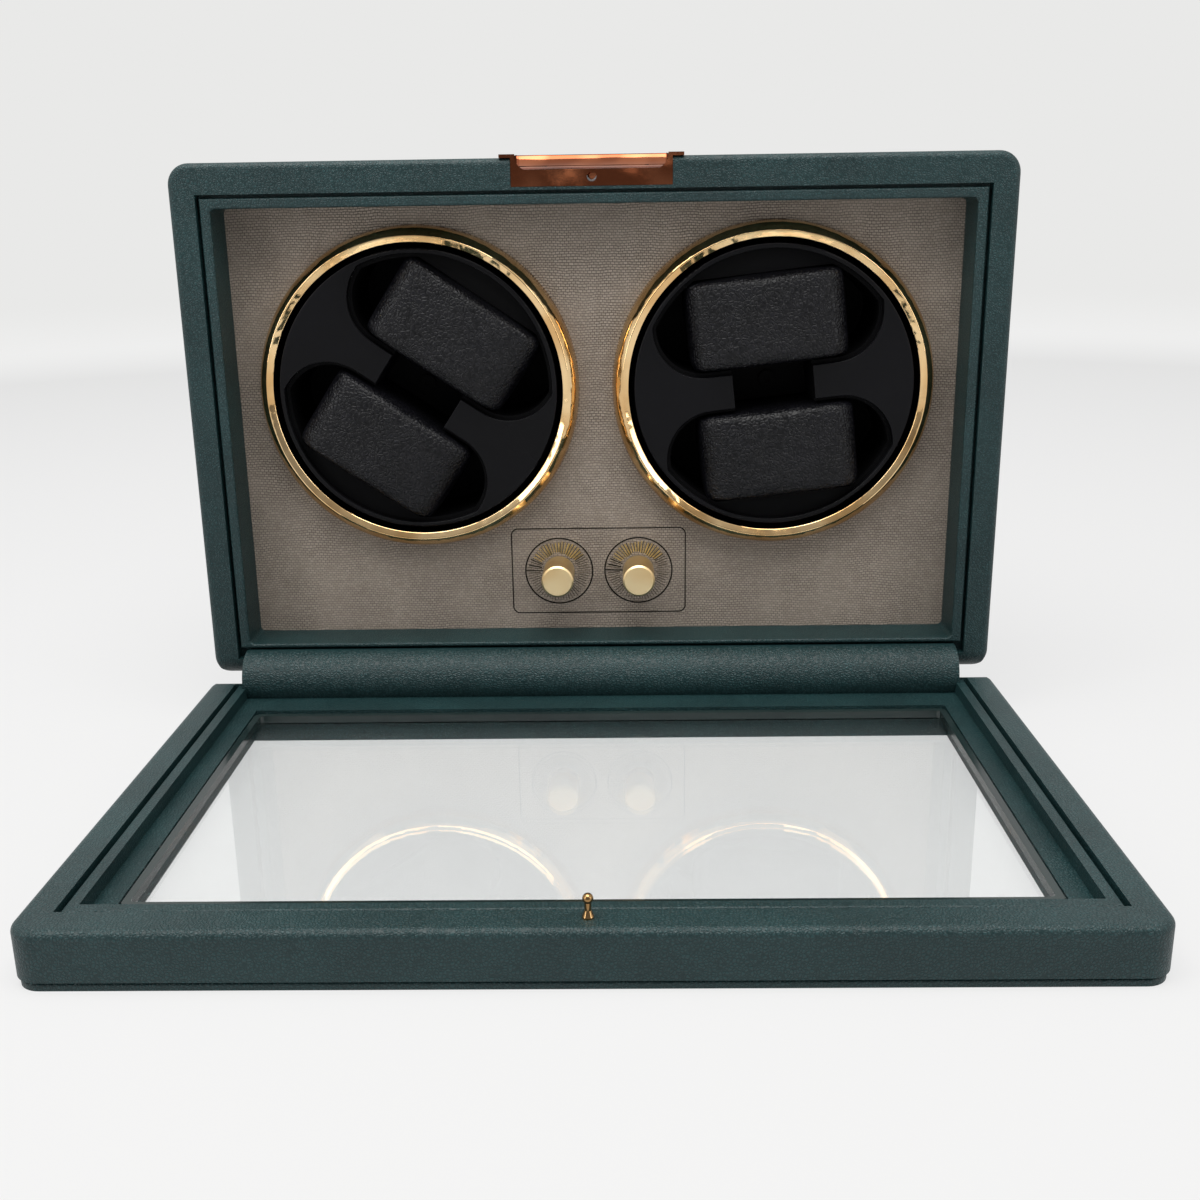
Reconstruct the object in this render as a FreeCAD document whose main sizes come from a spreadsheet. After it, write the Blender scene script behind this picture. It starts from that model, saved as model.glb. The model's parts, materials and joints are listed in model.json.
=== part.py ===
import FreeCAD, Part
import math
import os

import Sketcher

# A watch winder in a leather covered box, shown with its glazed lid folded down onto the table.
# X runs to the right, Y runs away from the viewer and Z runs up. While the pieces are drawn, Y is
# zero in the parting plane between case and lid, and Z is zero on the table.
# Every piece is moved back by the same amount, so that the origin is the middle of the plinth.

sizes = {
    # Outside of the box, and the leather edges
    "box_width": 330,
    "box_height": 209.9,
    "case_depth": 114.6,
    "lid_thickness": 19,
    "parting_gap": 0.8,
    "corner_radius": 8.5,
    "edge_radius": 2.5,
    "hinge_edge_radius": 8,
    "side_wall": 11.9,
    "bottom_wall": 12.4,
    "top_wall": 13.3,
    "seam_width": 1.4,
    "seam_depth": 5,
    "corner_block": 14,
    # Lining and panels of the case
    "liner_setback": 0.3,
    "liner_wall": 4,
    "liner_sill": 1.8,
    "liner_corner": 2,
    "liner_round": 0.8,
    "recess_depth": 19.6,
    "panel_thickness": 6,
    "panel_fit": 0.1,
    "cover_thickness": 3,
    "cover_step": 5.5,
    "cover_fit": 0.3,
    "cover_screw_radius": 1.5,
    "cover_screw_length": 14,
    "cover_head_radius": 2.6,
    "cover_head_height": 1.6,
    "cover_screw_inset": 30,
    # Plinth under the case
    "plinth_side_setback": 15,
    "plinth_setback": 13.6,
    "plinth_rear_setback": 8,
    "plinth_wall": 12,
    "plinth_top": 6,
    "plinth_screw_inset": 55,
    "plinth_screw_radius": 1.75,
    "plinth_screw_length": 15,
    "plinth_head_radius": 3.5,
    "plinth_head_height": 2,
    # Hinge
    "barrel_radius": 12,
    "barrel_clearance": 0.5,
    "barrel_end_inset": 14.7,
    "barrel_end_gap": 0.4,
    "rod_radius": 2,
    "rod_fit": 0.05,
    "rod_end_inset": 1.5,
    "eye_radius": 5,
    "eye_clearance": 0.5,
    "strap_thickness": 2.5,
    "strap_width": 20,
    "strap_inset": 65,
    "strap_fit": 0.3,
    "strap_screw_spread": 5,
    "strap_screw_radius": 1.5,
    "strap_screw_length": 10,
    "strap_head_radius": 3,
    "strap_head_height": 1.8,
    "barrel_screw_inset_x": 35,
    "barrel_screw_near_x": 48,
    "barrel_screw_radius": 1.5,
    "barrel_screw_length": 10,
    "barrel_head_radius": 3,
    "barrel_head_height": 1.5,
    "barrel_screw_inset": 4,
    # Lid
    "trim_thickness": 2.2,
    "trim_inset": 0.8,
    "trim_round": 0.8,
    "neck_height": 0.8,
    "neck_inset": 2,
    "glass_low": 7.2,
    "glass_thickness": 3,
    "glass_fit": 0.2,
    "glass_bearing": 5,
    "glass_rear_bearing": 9.5,
    "ledge_height": 3.3,
    "ledge_width": 7.6,
    "ledge_rear": 24.5,
    "lip_drop": 0.6,
    "window_setback": 0.5,
    "window_rear": 29.1,
    "bezel_width": 2.5,
    "bezel_height": 3,
    "bezel_gap": 0.5,
    "bezel_rear": 27.6,
    "bezel_corner": 2.8,
    "liner_end": 7.2,
    # Rotors and their housings
    "ring_side_margin": 14.55,
    "ring_middle_gap": 15.9,
    "ring_top_margin": 12.1,
    "ring_low_margin": 41.5,
    "left_turn": 34,
    "right_turn": -6.2,
    "drawn_face_radius": 57.4,
    "face_thickness": 2,
    "face_inset": 7,
    "face_round": 0.7,
    "face_rim": 2,
    "opening_round": 0.3,
    "cup_inset": 0.7,
    "cup_depth": 42.3,
    "cup_floor": 3,
    "pocket_offset": 27.2,
    "pocket_half_run": 26.6,
    "ledge_drop": 2,
    "ledge_step": 1.5,
    "channel_width": 33,
    "channel_depth": 30,
    "sleeve_clearance": 3.5,
    "sleeve_wall": 1.6,
    "sleeve_gap": 2,
    "sleeve_back": 3,
    "sleeve_fit": 0.1,
    "sleeve_lip": 6.6,
    "flange_width": 5.5,
    "flange_thickness": 2.5,
    "flange_screw_radius": 1.2,
    "flange_screw_length": 7.5,
    "flange_head_radius": 2.4,
    "flange_head_height": 1.8,
    "boss_radius": 13,
    "boss_length": 5.7,
    "boss_lip": 2.2,
    "boss_lip_radius": 6,
    "bearing_radius": 9.5,
    "bearing_width": 6,
    "bearing_fit": 0.05,
    "shaft_radius": 3,
    "shaft_end": 2,
    "hub_grip": 8,
    "hub_screw_radius": 1.5,
    "hub_screw_length": 16,
    "hub_head_radius": 3.2,
    "hub_head_height": 2.5,
    "hub_socket_radius": 1.6,
    "hub_socket_depth": 1.4,
    # Ring round each rotor
    "ring_foot": 2.6,
    "ring_fit": 0.2,
    "ring_height": 8.8,
    "ring_arc": 11,
    "ring_crown": 0.9,
    "ring_chamfer": 0.8,
    # Pillows
    "pillow_width": 66,
    "pillow_height": 37,
    "pillow_corner": 7.2,
    "pillow_proud": 4,
    "pillow_clearance": 0.3,
    "pillow_crown": 3.5,
    "pillow_face_inset": 10.5,
    "pillow_face_step": 0.875,
    "pillow_shoulder": 0.42,
    "pillow_belly": 8.75,
    "pillow_draw": 0.8,
    "pillow_back_draw": 0.4,
    "pillow_back_shoulder": 2.8,
    "pillow_back_inset": 7,
    # Drive
    "gear_module": 1,
    "gear_teeth": 60,
    "pinion_teeth": 20,
    "gear_width": 6,
    "gear_backlash": 0.25,
    "gear_pressure_angle": 20,
    "gear_root_depth": 1.25,
    "gear_gap": 2,
    "gear_hub_radius": 8,
    "gear_hub_length": 3,
    "gear_hole_radius": 6,
    "gear_hole_circle": 18,
    "gear_holes": 5,
    "pinion_shaft_radius": 2.5,
    "pinion_shaft_length": 7.5,
    "pinion_shaft_fit": 0.05,
    "motor_radius": 21,
    "motor_length": 16,
    "motor_gap": 5.5,
    "motor_ear": 28,
    "motor_ear_radius": 5,
    "motor_ear_thickness": 2,
    "motor_terminal": 10,
    "post_radius": 4,
    "motor_screw_radius": 1.5,
    "motor_screw_length": 10,
    "motor_head_radius": 2.8,
    "motor_head_height": 2,
    # Speed and direction controls
    "plate_width": 74.4,
    "plate_height": 37.2,
    "plate_rise": 40,
    "plate_thickness": 4,
    "plate_corner": 2.7,
    "plate_gap": 0.4,
    "plate_ledge": 3.4,
    "knob_spacing": 34.3,
    "dial_radius": 14.5,
    "dial_thickness": 0.5,
    "dial_recess": 0.6,
    "dial_fit": 0.05,
    "bushing_radius": 3.5,
    "bushing_proud": 2.5,
    "bushing_fit": 0.1,
    "pot_radius": 8,
    "pot_length": 8.6,
    "pot_floor": 1.5,
    "pot_shaft_radius": 3,
    "pot_shaft_fit": 0.05,
    "pot_shaft_end_gap": 1,
    "nut_flats": 10,
    "nut_height": 2,
    "knob_radius": 6.7,
    "knob_wall": 0.6,
    "knob_gap": 0.5,
    "knob_height": 17.4,
    "knob_cavity": 2.8,
    "knob_face": 5.8,
    "knob_bevel": 0.7,
    "board_width": 66,
    "board_height": 34,
    "board_thickness": 1.6,
    "standoff_spread_x": 29,
    "standoff_spread_z": 13,
    "standoff_radius": 2.5,
    "standoff_pin_radius": 1.25,
    "standoff_pin_length": 2.6,
    "connector_width": 16,
    "connector_height": 8,
    "connector_depth": 6,
    # Power inlet on the back cover
    "jack_inset": 55,
    "jack_rise": 30.2,
    "jack_flange_radius": 7,
    "jack_flange_thickness": 1.5,
    "jack_radius": 5.5,
    "jack_length": 11,
    "jack_nut_radius": 7.5,
    "jack_nut_thickness": 2.2,
    "jack_bore_radius": 3.2,
    "jack_bore_depth": 9.5,
    "jack_pin_radius": 1.05,
    "jack_pin_inset": 1.5,
    # Lock
    "lock_half_width": 31.25,
    "lock_height": 10.7,
    "lock_depth": 15.6,
    "lock_fit": 0.1,
    "lock_front": 1.5,
    "lock_wall": 0.8,
    "lock_flange": 4.4,
    "lock_flange_thickness": 1.3,
    "scoop_half_width": 29.6,
    "scoop_drop": 4.8,
    "scoop_corner": 5.5,
    "latch_drop": 7.3,
    "lock_hole_radius": 1.85,
    "lock_hole_rim": 0.5,
    "lock_hole_rim_height": 0.2,
    "lock_screw_x": 12,
    "lock_screw_rise": 3.4,
    "lock_screw_radius": 1,
    "lock_screw_length": 8,
    "lock_head_radius": 1.9,
    "lock_head_height": 1.2,
    "press_travel": 0.8,
    "bar_side_fit": 0.3,
    "bar_front_fit": 0.2,
    "bar_rear_fit": 0.3,
    "bar_lip_rise": 0.4,
    "bar_lip_height": 1,
    "bar_top": 1,
    "bar_crest": 1.1,
    "bar_end_wall": 0.5,
    "bar_nose": 5.9,
    "bar_rear_rise": 7,
    "relief_half_width": 2.2,
    "relief_depth": 5.6,
    "relief_height": 0.65,
    "latch_plate_setback": 1.6,
    "latch_plate_thickness": 0.8,
    "latch_plate_half_width": 24,
    "latch_plate_drop": 2.1,
    "latch_window_fit": 0.3,
    "neck_slot_radius": 1.1,
    "ball_slot_radius": 1.75,
    "spring_x": 20,
    "spring_y": 11.1,
    "spring_radius": 2,
    "spring_wire": 0.3,
    "spring_turns": 5,
    # Ball stud on the lid
    "ball_radius": 1.6,
    "ball_height": 6,
    "stud_neck_radius": 1,
    "stud_base_radius": 1.75,
    "stud_base_height": 0.5,
    "stud_cone_height": 2.4,
    "stud_shank_radius": 1.2,
    "stud_shank_length": 8,
}

doc = FreeCAD.newDocument("WatchWinder")
sheet = doc.addObject("Spreadsheet::Sheet", "Sizes")
for row, (name, value) in enumerate(sizes.items(), 1):
    sheet.set(f"A{row}", name)
    sheet.set(f"B{row}", str(value))
    sheet.setAlias(f"B{row}", name)
doc.recompute()


class Size:
    # A number together with the spreadsheet formula that gives it.
    def __init__(self, value, formula):
        self.value = float(value)
        self.formula = formula

    def __add__(self, other):
        other = as_size(other)
        return Size(self.value + other.value, f"({self.formula} + {other.formula})")

    def __radd__(self, other):
        return as_size(other) + self

    def __sub__(self, other):
        other = as_size(other)
        return Size(self.value - other.value, f"({self.formula} - {other.formula})")

    def __rsub__(self, other):
        return as_size(other) - self

    def __mul__(self, other):
        other = as_size(other)
        return Size(self.value * other.value, f"({self.formula} * {other.formula})")

    def __rmul__(self, other):
        return as_size(other) * self

    def __truediv__(self, other):
        other = as_size(other)
        return Size(self.value / other.value, f"({self.formula} / {other.formula})")

    def __neg__(self):
        return Size(-self.value, f"(0 - {self.formula})")


class Sheet:
    # Reads a named cell of the spreadsheet as a Size.
    def __getattr__(self, name):
        return Size(sheet.get(name), f"Sizes.{name}")


def as_size(number):
    return number if isinstance(number, Size) else Size(number, f"({number})")


def root(size):
    return Size(math.sqrt(size.value), f"sqrt({size.formula})")


def smaller(one, other):
    return Size(min(one.value, other.value), f"min({one.formula}; {other.formula})")


s = Sheet()

# Planes and heights that several pieces share
half_width = s.box_width / 2
face_y = s.parting_gap / 2
case_back = face_y + s.case_depth
axis_z = s.lid_thickness + s.parting_gap / 2
case_low = axis_z + s.parting_gap / 2
case_high = case_low + s.box_height
cavity_x = half_width - s.side_wall
cavity_low = case_low + s.bottom_wall
cavity_high = case_high - s.top_wall
seam_x = cavity_x + s.seam_width
panel_y = face_y + s.recess_depth
panel_back = panel_y + s.panel_thickness
plinth_front = face_y + s.plinth_setback
plinth_back = case_back - s.plinth_rear_setback
origin_y = (plinth_front + plinth_back) / 2
recess_radius = s.barrel_radius + s.barrel_clearance
barrel_half = half_width - s.barrel_end_inset
recess_end = barrel_half + s.barrel_end_gap
lid_front = -face_y - s.box_height
lid_rear = -face_y
lid_base = s.trim_thickness + s.neck_height
glass_high = s.glass_low + s.glass_thickness
ledge_z = glass_high + s.ledge_height
ring_across = (cavity_x - s.ring_side_margin - s.ring_middle_gap / 2) / 2
ring_up = (cavity_high - cavity_low - s.ring_top_margin - s.ring_low_margin) / 2
ring_outer = smaller(ring_across, ring_up)
rotor_x = s.ring_middle_gap / 2 + ring_outer
rotor_z = cavity_high - s.ring_top_margin - ring_outer
face_front = panel_y - s.face_inset
cup_front = face_front + s.face_thickness
cup_back = cup_front + s.cup_depth
sleeve_outer = ring_outer - s.ring_foot - s.ring_fit
sleeve_inner = sleeve_outer - s.sleeve_wall
flange_radius = sleeve_outer + s.flange_width
face_radius = sleeve_inner - s.sleeve_clearance
cup_radius = face_radius - s.cup_inset
rotor_scale = face_radius / s.drawn_face_radius
pocket_offset = s.pocket_offset * rotor_scale
pocket_half_run = s.pocket_half_run * rotor_scale
channel_width = s.channel_width * rotor_scale
pillow_width = s.pillow_width * rotor_scale
pillow_height = s.pillow_height * rotor_scale
pocket_radius = pillow_height / 2 + s.pillow_clearance
opening_radius = pocket_radius + s.ledge_step
opening_reach = face_radius - s.face_rim
pocket_reach = opening_reach - s.ledge_step
sleeve_floor = cup_back + s.sleeve_gap
sleeve_rear = sleeve_floor + s.sleeve_back
boss_end = sleeve_rear + s.boss_length
bearing_front = sleeve_floor + s.boss_lip
gear_front = boss_end + s.gear_gap
gear_back = gear_front + s.gear_width
shaft_back = gear_back + s.gear_hub_length + s.shaft_end
motor_front = gear_back + s.motor_gap
gear_distance = s.gear_module * (s.gear_teeth + s.pinion_teeth) / 2
channel_floor = cup_front + s.channel_depth
plate_z = case_low + s.plate_rise
plate_back = panel_y + s.plate_thickness
pot_back = plate_back + s.pot_length
knob_back = panel_y + s.dial_recess - s.dial_thickness - s.knob_gap
knob_front = knob_back - s.knob_height
lock_low = case_high - s.lock_height
lock_back = face_y + s.lock_depth
lock_inner_y = face_y + s.lock_front
scoop_z = case_high - s.scoop_drop
latch_z = case_high - s.latch_drop
tray_floor = lock_low + s.lock_wall
bar_front = lock_inner_y + s.bar_front_fit
bar_back = lock_back - s.lock_wall - s.bar_rear_fit
bar_low = scoop_z + s.bar_lip_rise - s.bar_lip_height
bar_high = case_high + s.bar_top
stud_y = axis_z - latch_z
jack_x = s.jack_inset - half_width

nodes = []
cuts = []
views = {"front": ("XZ_Plane", -1), "floor": ("XY_Plane", 1), "side": ("YZ_Plane", 1)}


def bind(thing, prop, size):
    thing.setExpression(prop, as_size(size).formula)


def body(name):
    return doc.addObject("PartDesign::Body", name)


def place(piece, x=0, y=0, z=0, axis=(0, 1, 0), turn=0):
    piece.Placement = FreeCAD.Placement(FreeCAD.Vector(), FreeCAD.Rotation(FreeCAD.Vector(*axis), as_size(turn).value))
    for letter, amount in zip("xyz", (x, y, z)):
        bind(piece, f"Placement.Base.{letter}", amount)
    if isinstance(turn, Size):
        bind(piece, "Placement.Rotation.Angle", turn)


def keep(piece, name, x=0, z=0, turn=0):
    # Names a finished sub-part and moves it so that the origin is the middle of the plinth.
    place(piece, x, -origin_y, z, (0, 1, 0), turn)
    piece.Label = name
    nodes.append(piece)
    return piece


def group(name, pieces):
    together = doc.addObject("Part::Compound", name)
    together.Links = pieces
    return keep(together, name)


def fix_point(drawn, line, end, x, y):
    for kind, other_axis, amount in (("DistanceX", -2, x), ("DistanceY", -1, y)):
        amount = as_size(amount)
        if amount.value == 0:
            drawn.addConstraint(Sketcher.Constraint("PointOnObject", line, end, other_axis))
            continue
        number = drawn.addConstraint(Sketcher.Constraint(kind, -1, 1, line, end, amount.value))
        drawn.setExpression(f"Constraints[{number}]", amount.formula)


def arc_between(start, end, radius, left):
    # The shorter arc from start to end that curves to the left or to the right.
    chord = end - start
    side = FreeCAD.Vector(-chord.y, chord.x, 0).normalize() * (1 if left else -1)
    rise = math.sqrt(max(radius ** 2 - (chord.Length / 2) ** 2, 0))
    centre = (start + end) * 0.5 + side * rise
    first, last = (start, end) if left else (end, start)
    angles = [math.atan2(point.y - centre.y, point.x - centre.x) for point in (first, last)]
    circle = Part.Circle(centre, FreeCAD.Vector(0, 0, 1), radius)
    return Part.ArcOfCircle(circle, angles[0], angles[1])


def loop(drawn, points):
    # Each point is (x, y), or (x, y, radius, "left" or "right") where an arc leaves it.
    places = [FreeCAD.Vector(as_size(p[0]).value, as_size(p[1]).value, 0) for p in points]
    ends = []
    for index, point in enumerate(points):
        start, end = places[index], places[(index + 1) % len(points)]
        if len(point) == 2:
            line = drawn.addGeometry(Part.LineSegment(start, end), False)
            ends.append((line, 1, 2))
            continue
        radius = as_size(point[2])
        left = point[3] == "left"
        line = drawn.addGeometry(arc_between(start, end, radius.value, left), False)
        ends.append((line, 1, 2) if left else (line, 2, 1))
    for index, (line, first, last) in enumerate(ends):
        following = ends[(index + 1) % len(ends)]
        drawn.addConstraint(Sketcher.Constraint("Coincident", line, last, following[0], following[1]))
    for (line, first, last), point in zip(ends, points):
        fix_point(drawn, line, first, point[0], point[1])
        if len(point) > 2:
            radius = as_size(point[2])
            number = drawn.addConstraint(Sketcher.Constraint("Radius", line, radius.value))
            drawn.setExpression(f"Constraints[{number}]", radius.formula)


def rectangle(x_low, x_high, y_low, y_high):
    return [(x_low, y_low), (x_high, y_low), (x_high, y_high), (x_low, y_high)]


def rounded(x_low, x_high, y_low, y_high, r):
    return [
        (x_low + r, y_low),
        (x_high - r, y_low, r, "left"),
        (x_high, y_low + r),
        (x_high, y_high - r, r, "left"),
        (x_high - r, y_high),
        (x_low + r, y_high, r, "left"),
        (x_low, y_high - r),
        (x_low, y_low + r, r, "left"),
    ]


def stadium(half_run, middle, r):
    return [
        (-half_run, middle - r),
        (half_run, middle - r, r, "left"),
        (half_run + r, middle, r, "left"),
        (half_run, middle + r),
        (-half_run, middle + r, r, "left"),
        (-half_run - r, middle, r, "left"),
    ]


class Disc:
    def __init__(self, x, y, radius):
        self.x = as_size(x)
        self.y = as_size(y)
        self.radius = as_size(radius)


def draw_disc(drawn, disc):
    middle = FreeCAD.Vector(disc.x.value, disc.y.value, 0)
    line = drawn.addGeometry(Part.Circle(middle, FreeCAD.Vector(0, 0, 1), disc.radius.value), False)
    fix_point(drawn, line, 3, disc.x, disc.y)
    number = drawn.addConstraint(Sketcher.Constraint("Radius", line, disc.radius.value))
    drawn.setExpression(f"Constraints[{number}]", disc.radius.formula)


def sketch(owner, view, level, shapes):
    role, sense = views[view]
    drawn = owner.newObject("Sketcher::SketchObject", "outline")
    plane = [item for item in owner.Origin.OriginFeatures if item.Role == role][0]
    drawn.AttachmentSupport = [(plane, "")]
    drawn.MapMode = "FlatFace"
    bind(drawn, "AttachmentOffset.Base.z", level if sense > 0 else -as_size(level))
    for shape in shapes:
        if isinstance(shape, Disc):
            draw_disc(drawn, shape)
        else:
            loop(drawn, shape)
    return drawn


def prism(owner, view, low, high, shapes, cut=False):
    # A straight pad or pocket between two levels along the direction that the view looks in.
    faces_back = views[view][1] < 0
    start = high if faces_back != cut else low
    drawn = sketch(owner, view, start, shapes)
    made = owner.newObject("PartDesign::Pocket" if cut else "PartDesign::Pad", "step")
    made.Profile = drawn
    bind(made, "Length", high - low)
    if cut:
        cuts.append(made)
    return made


def turned(owner, points):
    # A profile of (radius, distance along Y) turned round the Y axis of the piece.
    drawn = sketch(owner, "floor", 0, [points])
    made = owner.newObject("PartDesign::Revolution", "turning")
    made.Profile = drawn
    made.ReferenceAxis = (drawn, ["V_Axis"])
    made.Angle = 360
    return made


def round_edges(owner, radius, chosen):
    doc.recompute()
    base = owner.Tip
    names = [f"Edge{number}" for number, edge in enumerate(base.Shape.Edges, 1) if chosen(edge)]
    made = owner.newObject("PartDesign::Fillet", "rounding")
    made.Base = (base, names)
    bind(made, "Radius", radius)


def on_level(edge, letter, size):
    return all(abs(getattr(vertex.Point, letter) - size.value) < 1e-4 for vertex in edge.Vertexes)


def screw(name, x, y, z, toward, radius, length, head_radius, head_height, sunk=False):
    # toward is the direction in which the shank points.
    turns = {"+y": ((1, 0, 0), 0), "-y": ((1, 0, 0), 180), "-z": ((1, 0, 0), -90), "+z": ((1, 0, 0), 90)}
    made = body(name)
    if sunk:
        profile = [(0, 0), (head_radius, 0), (radius, head_height), (radius, length), (0, length)]
    else:
        top = -head_height
        profile = [(0, top), (head_radius, top), (head_radius, 0), (radius, 0), (radius, length), (0, length)]
    turned(made, profile)
    axis, turn = turns[toward]
    place(made, x, y, z, axis, turn)
    return made


def sides():
    return (("left", -1), ("right", 1))


def corners():
    return ((-1, -1), (1, -1), (-1, 1), (1, 1))


# Case

def cover_screw_places():
    x = cavity_x + s.cover_step / 2
    low = cavity_low + s.cover_screw_inset
    high = cavity_high - s.cover_screw_inset
    return [(side * x, z) for side in (-1, 1) for z in (low, (low + high) / 2, high)]


def plinth_screw_places():
    front = plinth_front + s.plinth_wall * 2
    back = plinth_back - s.plinth_wall * 2
    x = half_width - s.plinth_screw_inset
    return [(side * x, y) for side in (-1, 1) for y in (front, back)]


def lock_screw_places():
    z = lock_low + s.lock_screw_rise
    return [(side * s.lock_screw_x, z) for side in (-1, 1)]


def make_case_shell():
    shell = body("case_shell")
    outline = rounded(-half_width, half_width, case_low, case_high, s.corner_radius)
    prism(shell, "front", face_y, case_back, [outline])
    round_edges(shell, s.edge_radius, lambda e: on_level(e, "y", face_y) or on_level(e, "y", case_back))
    opening = rectangle(-cavity_x, cavity_x, cavity_low, cavity_high)
    prism(shell, "front", face_y, case_back, [opening], cut=True)
    step = s.cover_step
    rebate = rectangle(-cavity_x - step, cavity_x + step, cavity_low - step, cavity_high + step)
    prism(shell, "front", case_back - s.cover_thickness, case_back, [rebate], cut=True)
    for x_side, z_side in corners():
        x_wall = x_side * cavity_x
        z_wall = cavity_low if z_side < 0 else cavity_high
        x_in = x_wall - x_side * s.corner_block
        z_in = z_wall - z_side * s.corner_block
        block = corner_outline(x_in, x_wall + x_side * s.seam_width, z_in, z_wall + z_side * s.seam_width)
        prism(shell, "front", panel_back, panel_back + s.corner_block, [block])
    seam_low = axis_z + s.hinge_edge_radius
    seam = rectangle(-seam_x, seam_x, seam_low, cavity_high + s.seam_width)
    prism(shell, "front", face_y, face_y + s.seam_depth, [seam], cut=True)
    prism(shell, "side", -recess_end, recess_end, [Disc(0, axis_z, recess_radius)], cut=True)
    prism(shell, "side", -half_width, half_width, [edge_relief(face_y, case_low, 1, 1)], cut=True)
    lock_x = s.lock_half_width + s.lock_fit
    lock_bed = rectangle(-lock_x, lock_x, lock_low - s.lock_fit, case_high + s.lock_height)
    prism(shell, "front", face_y, lock_back + s.lock_fit, [lock_bed], cut=True)
    holes = [Disc(x, z, s.lock_screw_radius) for x, z in lock_screw_places()]
    prism(shell, "front", lock_back, lock_back + s.lock_screw_length, holes, cut=True)
    depth = s.cover_screw_length - s.cover_thickness
    cover_front = case_back - s.cover_thickness
    holes = [Disc(x, z, s.cover_screw_radius) for x, z in cover_screw_places()]
    prism(shell, "front", cover_front - depth, cover_front, holes, cut=True)
    bite = s.plinth_screw_length - s.plinth_top
    holes = [Disc(x, y, s.plinth_screw_radius) for x, y in plinth_screw_places()]
    prism(shell, "floor", case_low, case_low + bite, holes, cut=True)
    keep(shell, "case_shell")


def corner_outline(x_one, x_two, z_one, z_two):
    x_low, x_high = sorted((x_one, x_two), key=lambda size: size.value)
    z_low, z_high = sorted((z_one, z_two), key=lambda size: size.value)
    return rectangle(x_low, x_high, z_low, z_high)


def edge_relief(y, z, y_way, z_way):
    # What is cut from a square edge at (y, z) to round it; the ways point into the piece.
    r = s.hinge_edge_radius
    y_in = y + y_way * r
    z_in = z + z_way * r
    y_out = y - y_way * s.edge_radius
    z_out = z - z_way * s.edge_radius
    side = "left" if y_way == z_way else "right"
    return [(y, z_in, r, side), (y_in, z), (y_in, z_out), (y_out, z_out), (y_out, z_in)]


def make_case_liner():
    liner = body("case_liner")
    front = face_y + s.liner_setback
    outer = rectangle(-cavity_x, cavity_x, cavity_low, cavity_high)
    inner_x = cavity_x - s.liner_wall
    inner = rounded(-inner_x, inner_x, cavity_low + s.liner_sill, cavity_high - s.liner_wall, s.liner_corner)
    prism(liner, "front", front, panel_y, [outer, inner])
    round_edges(liner, s.liner_round, lambda e: on_level(e, "y", front))
    keep(liner, "case_liner")


def make_front_panel():
    panel = body("front_panel")
    x = cavity_x - s.panel_fit
    outline = rectangle(-x, x, cavity_low + s.panel_fit, cavity_high - s.panel_fit)
    holes = [Disc(side * rotor_x, rotor_z, sleeve_outer + s.sleeve_fit) for name, side in sides()]
    prism(panel, "front", panel_y, panel_back, [outline] + holes)
    plate_x = s.plate_width / 2 + s.plate_gap
    plate_up = s.plate_height / 2 + s.plate_gap
    seat = rounded(-plate_x, plate_x, plate_z - plate_up, plate_z + plate_up, s.plate_corner + s.plate_gap)
    prism(panel, "front", panel_y, plate_back, [seat], cut=True)
    open_x = plate_x - s.plate_ledge
    open_up = plate_up - s.plate_ledge
    opening = rectangle(-open_x, open_x, plate_z - open_up, plate_z + open_up)
    prism(panel, "front", plate_back, panel_back, [opening], cut=True)
    pilots = [Disc(x, z, s.flange_screw_radius) for x, z in flange_screw_places()]
    bite = s.flange_screw_length - s.flange_thickness
    prism(panel, "front", panel_back - bite, panel_back, pilots, cut=True)
    keep(panel, "front_panel")


def make_back_cover():
    cover = body("back_cover")
    reach = s.cover_step - s.cover_fit
    outline = rectangle(-cavity_x - reach, cavity_x + reach, cavity_low - reach, cavity_high + reach)
    holes = [Disc(x, z, s.cover_screw_radius) for x, z in cover_screw_places()]
    holes.append(Disc(jack_x, case_low + s.jack_rise, s.jack_radius))
    prism(cover, "front", case_back - s.cover_thickness, case_back, [outline] + holes)
    keep(cover, "back_cover")
    screws = []
    for x, z in cover_screw_places():
        screws.append(screw(
            "back_screw", x, case_back, z, "-y",
            s.cover_screw_radius, s.cover_screw_length, s.cover_head_radius, s.cover_head_height))
    group("back_screws", screws)


def make_plinth():
    plinth = body("plinth")
    x = half_width - s.plinth_side_setback
    prism(plinth, "floor", as_size(0), case_low, [rectangle(-x, x, plinth_front, plinth_back)])
    wall = s.plinth_wall
    hollows = []
    for x_low, x_high in ((-x + wall, -wall / 2), (wall / 2, x - wall)):
        hollows.append(rectangle(x_low, x_high, plinth_front + wall, plinth_back - wall))
    prism(plinth, "floor", as_size(0), case_low - s.plinth_top, hollows, cut=True)
    holes = [Disc(x, y, s.plinth_screw_radius) for x, y in plinth_screw_places()]
    prism(plinth, "floor", case_low - s.plinth_top, case_low, holes, cut=True)
    strap_low = axis_z - s.eye_radius
    half = s.strap_width / 2 + s.strap_fit
    back = plinth_front + s.plinth_wall + s.strap_fit
    slots = [rectangle(x - half, x + half, plinth_front, back) for x in strap_places()]
    prism(plinth, "floor", strap_low, case_low, slots, cut=True)
    holes = [Disc(x, y, s.strap_screw_radius) for x, y in strap_screw_places()]
    strap_high = strap_low + s.strap_thickness
    prism(plinth, "floor", strap_high - s.strap_screw_length, strap_low, holes, cut=True)
    keep(plinth, "plinth")
    screws = []
    for x, y in plinth_screw_places():
        screws.append(screw(
            "plinth_screw", x, y, case_low - s.plinth_top, "+z",
            s.plinth_screw_radius, s.plinth_screw_length, s.plinth_head_radius, s.plinth_head_height))
    group("plinth_screws", screws)


# Rotor housings

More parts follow.
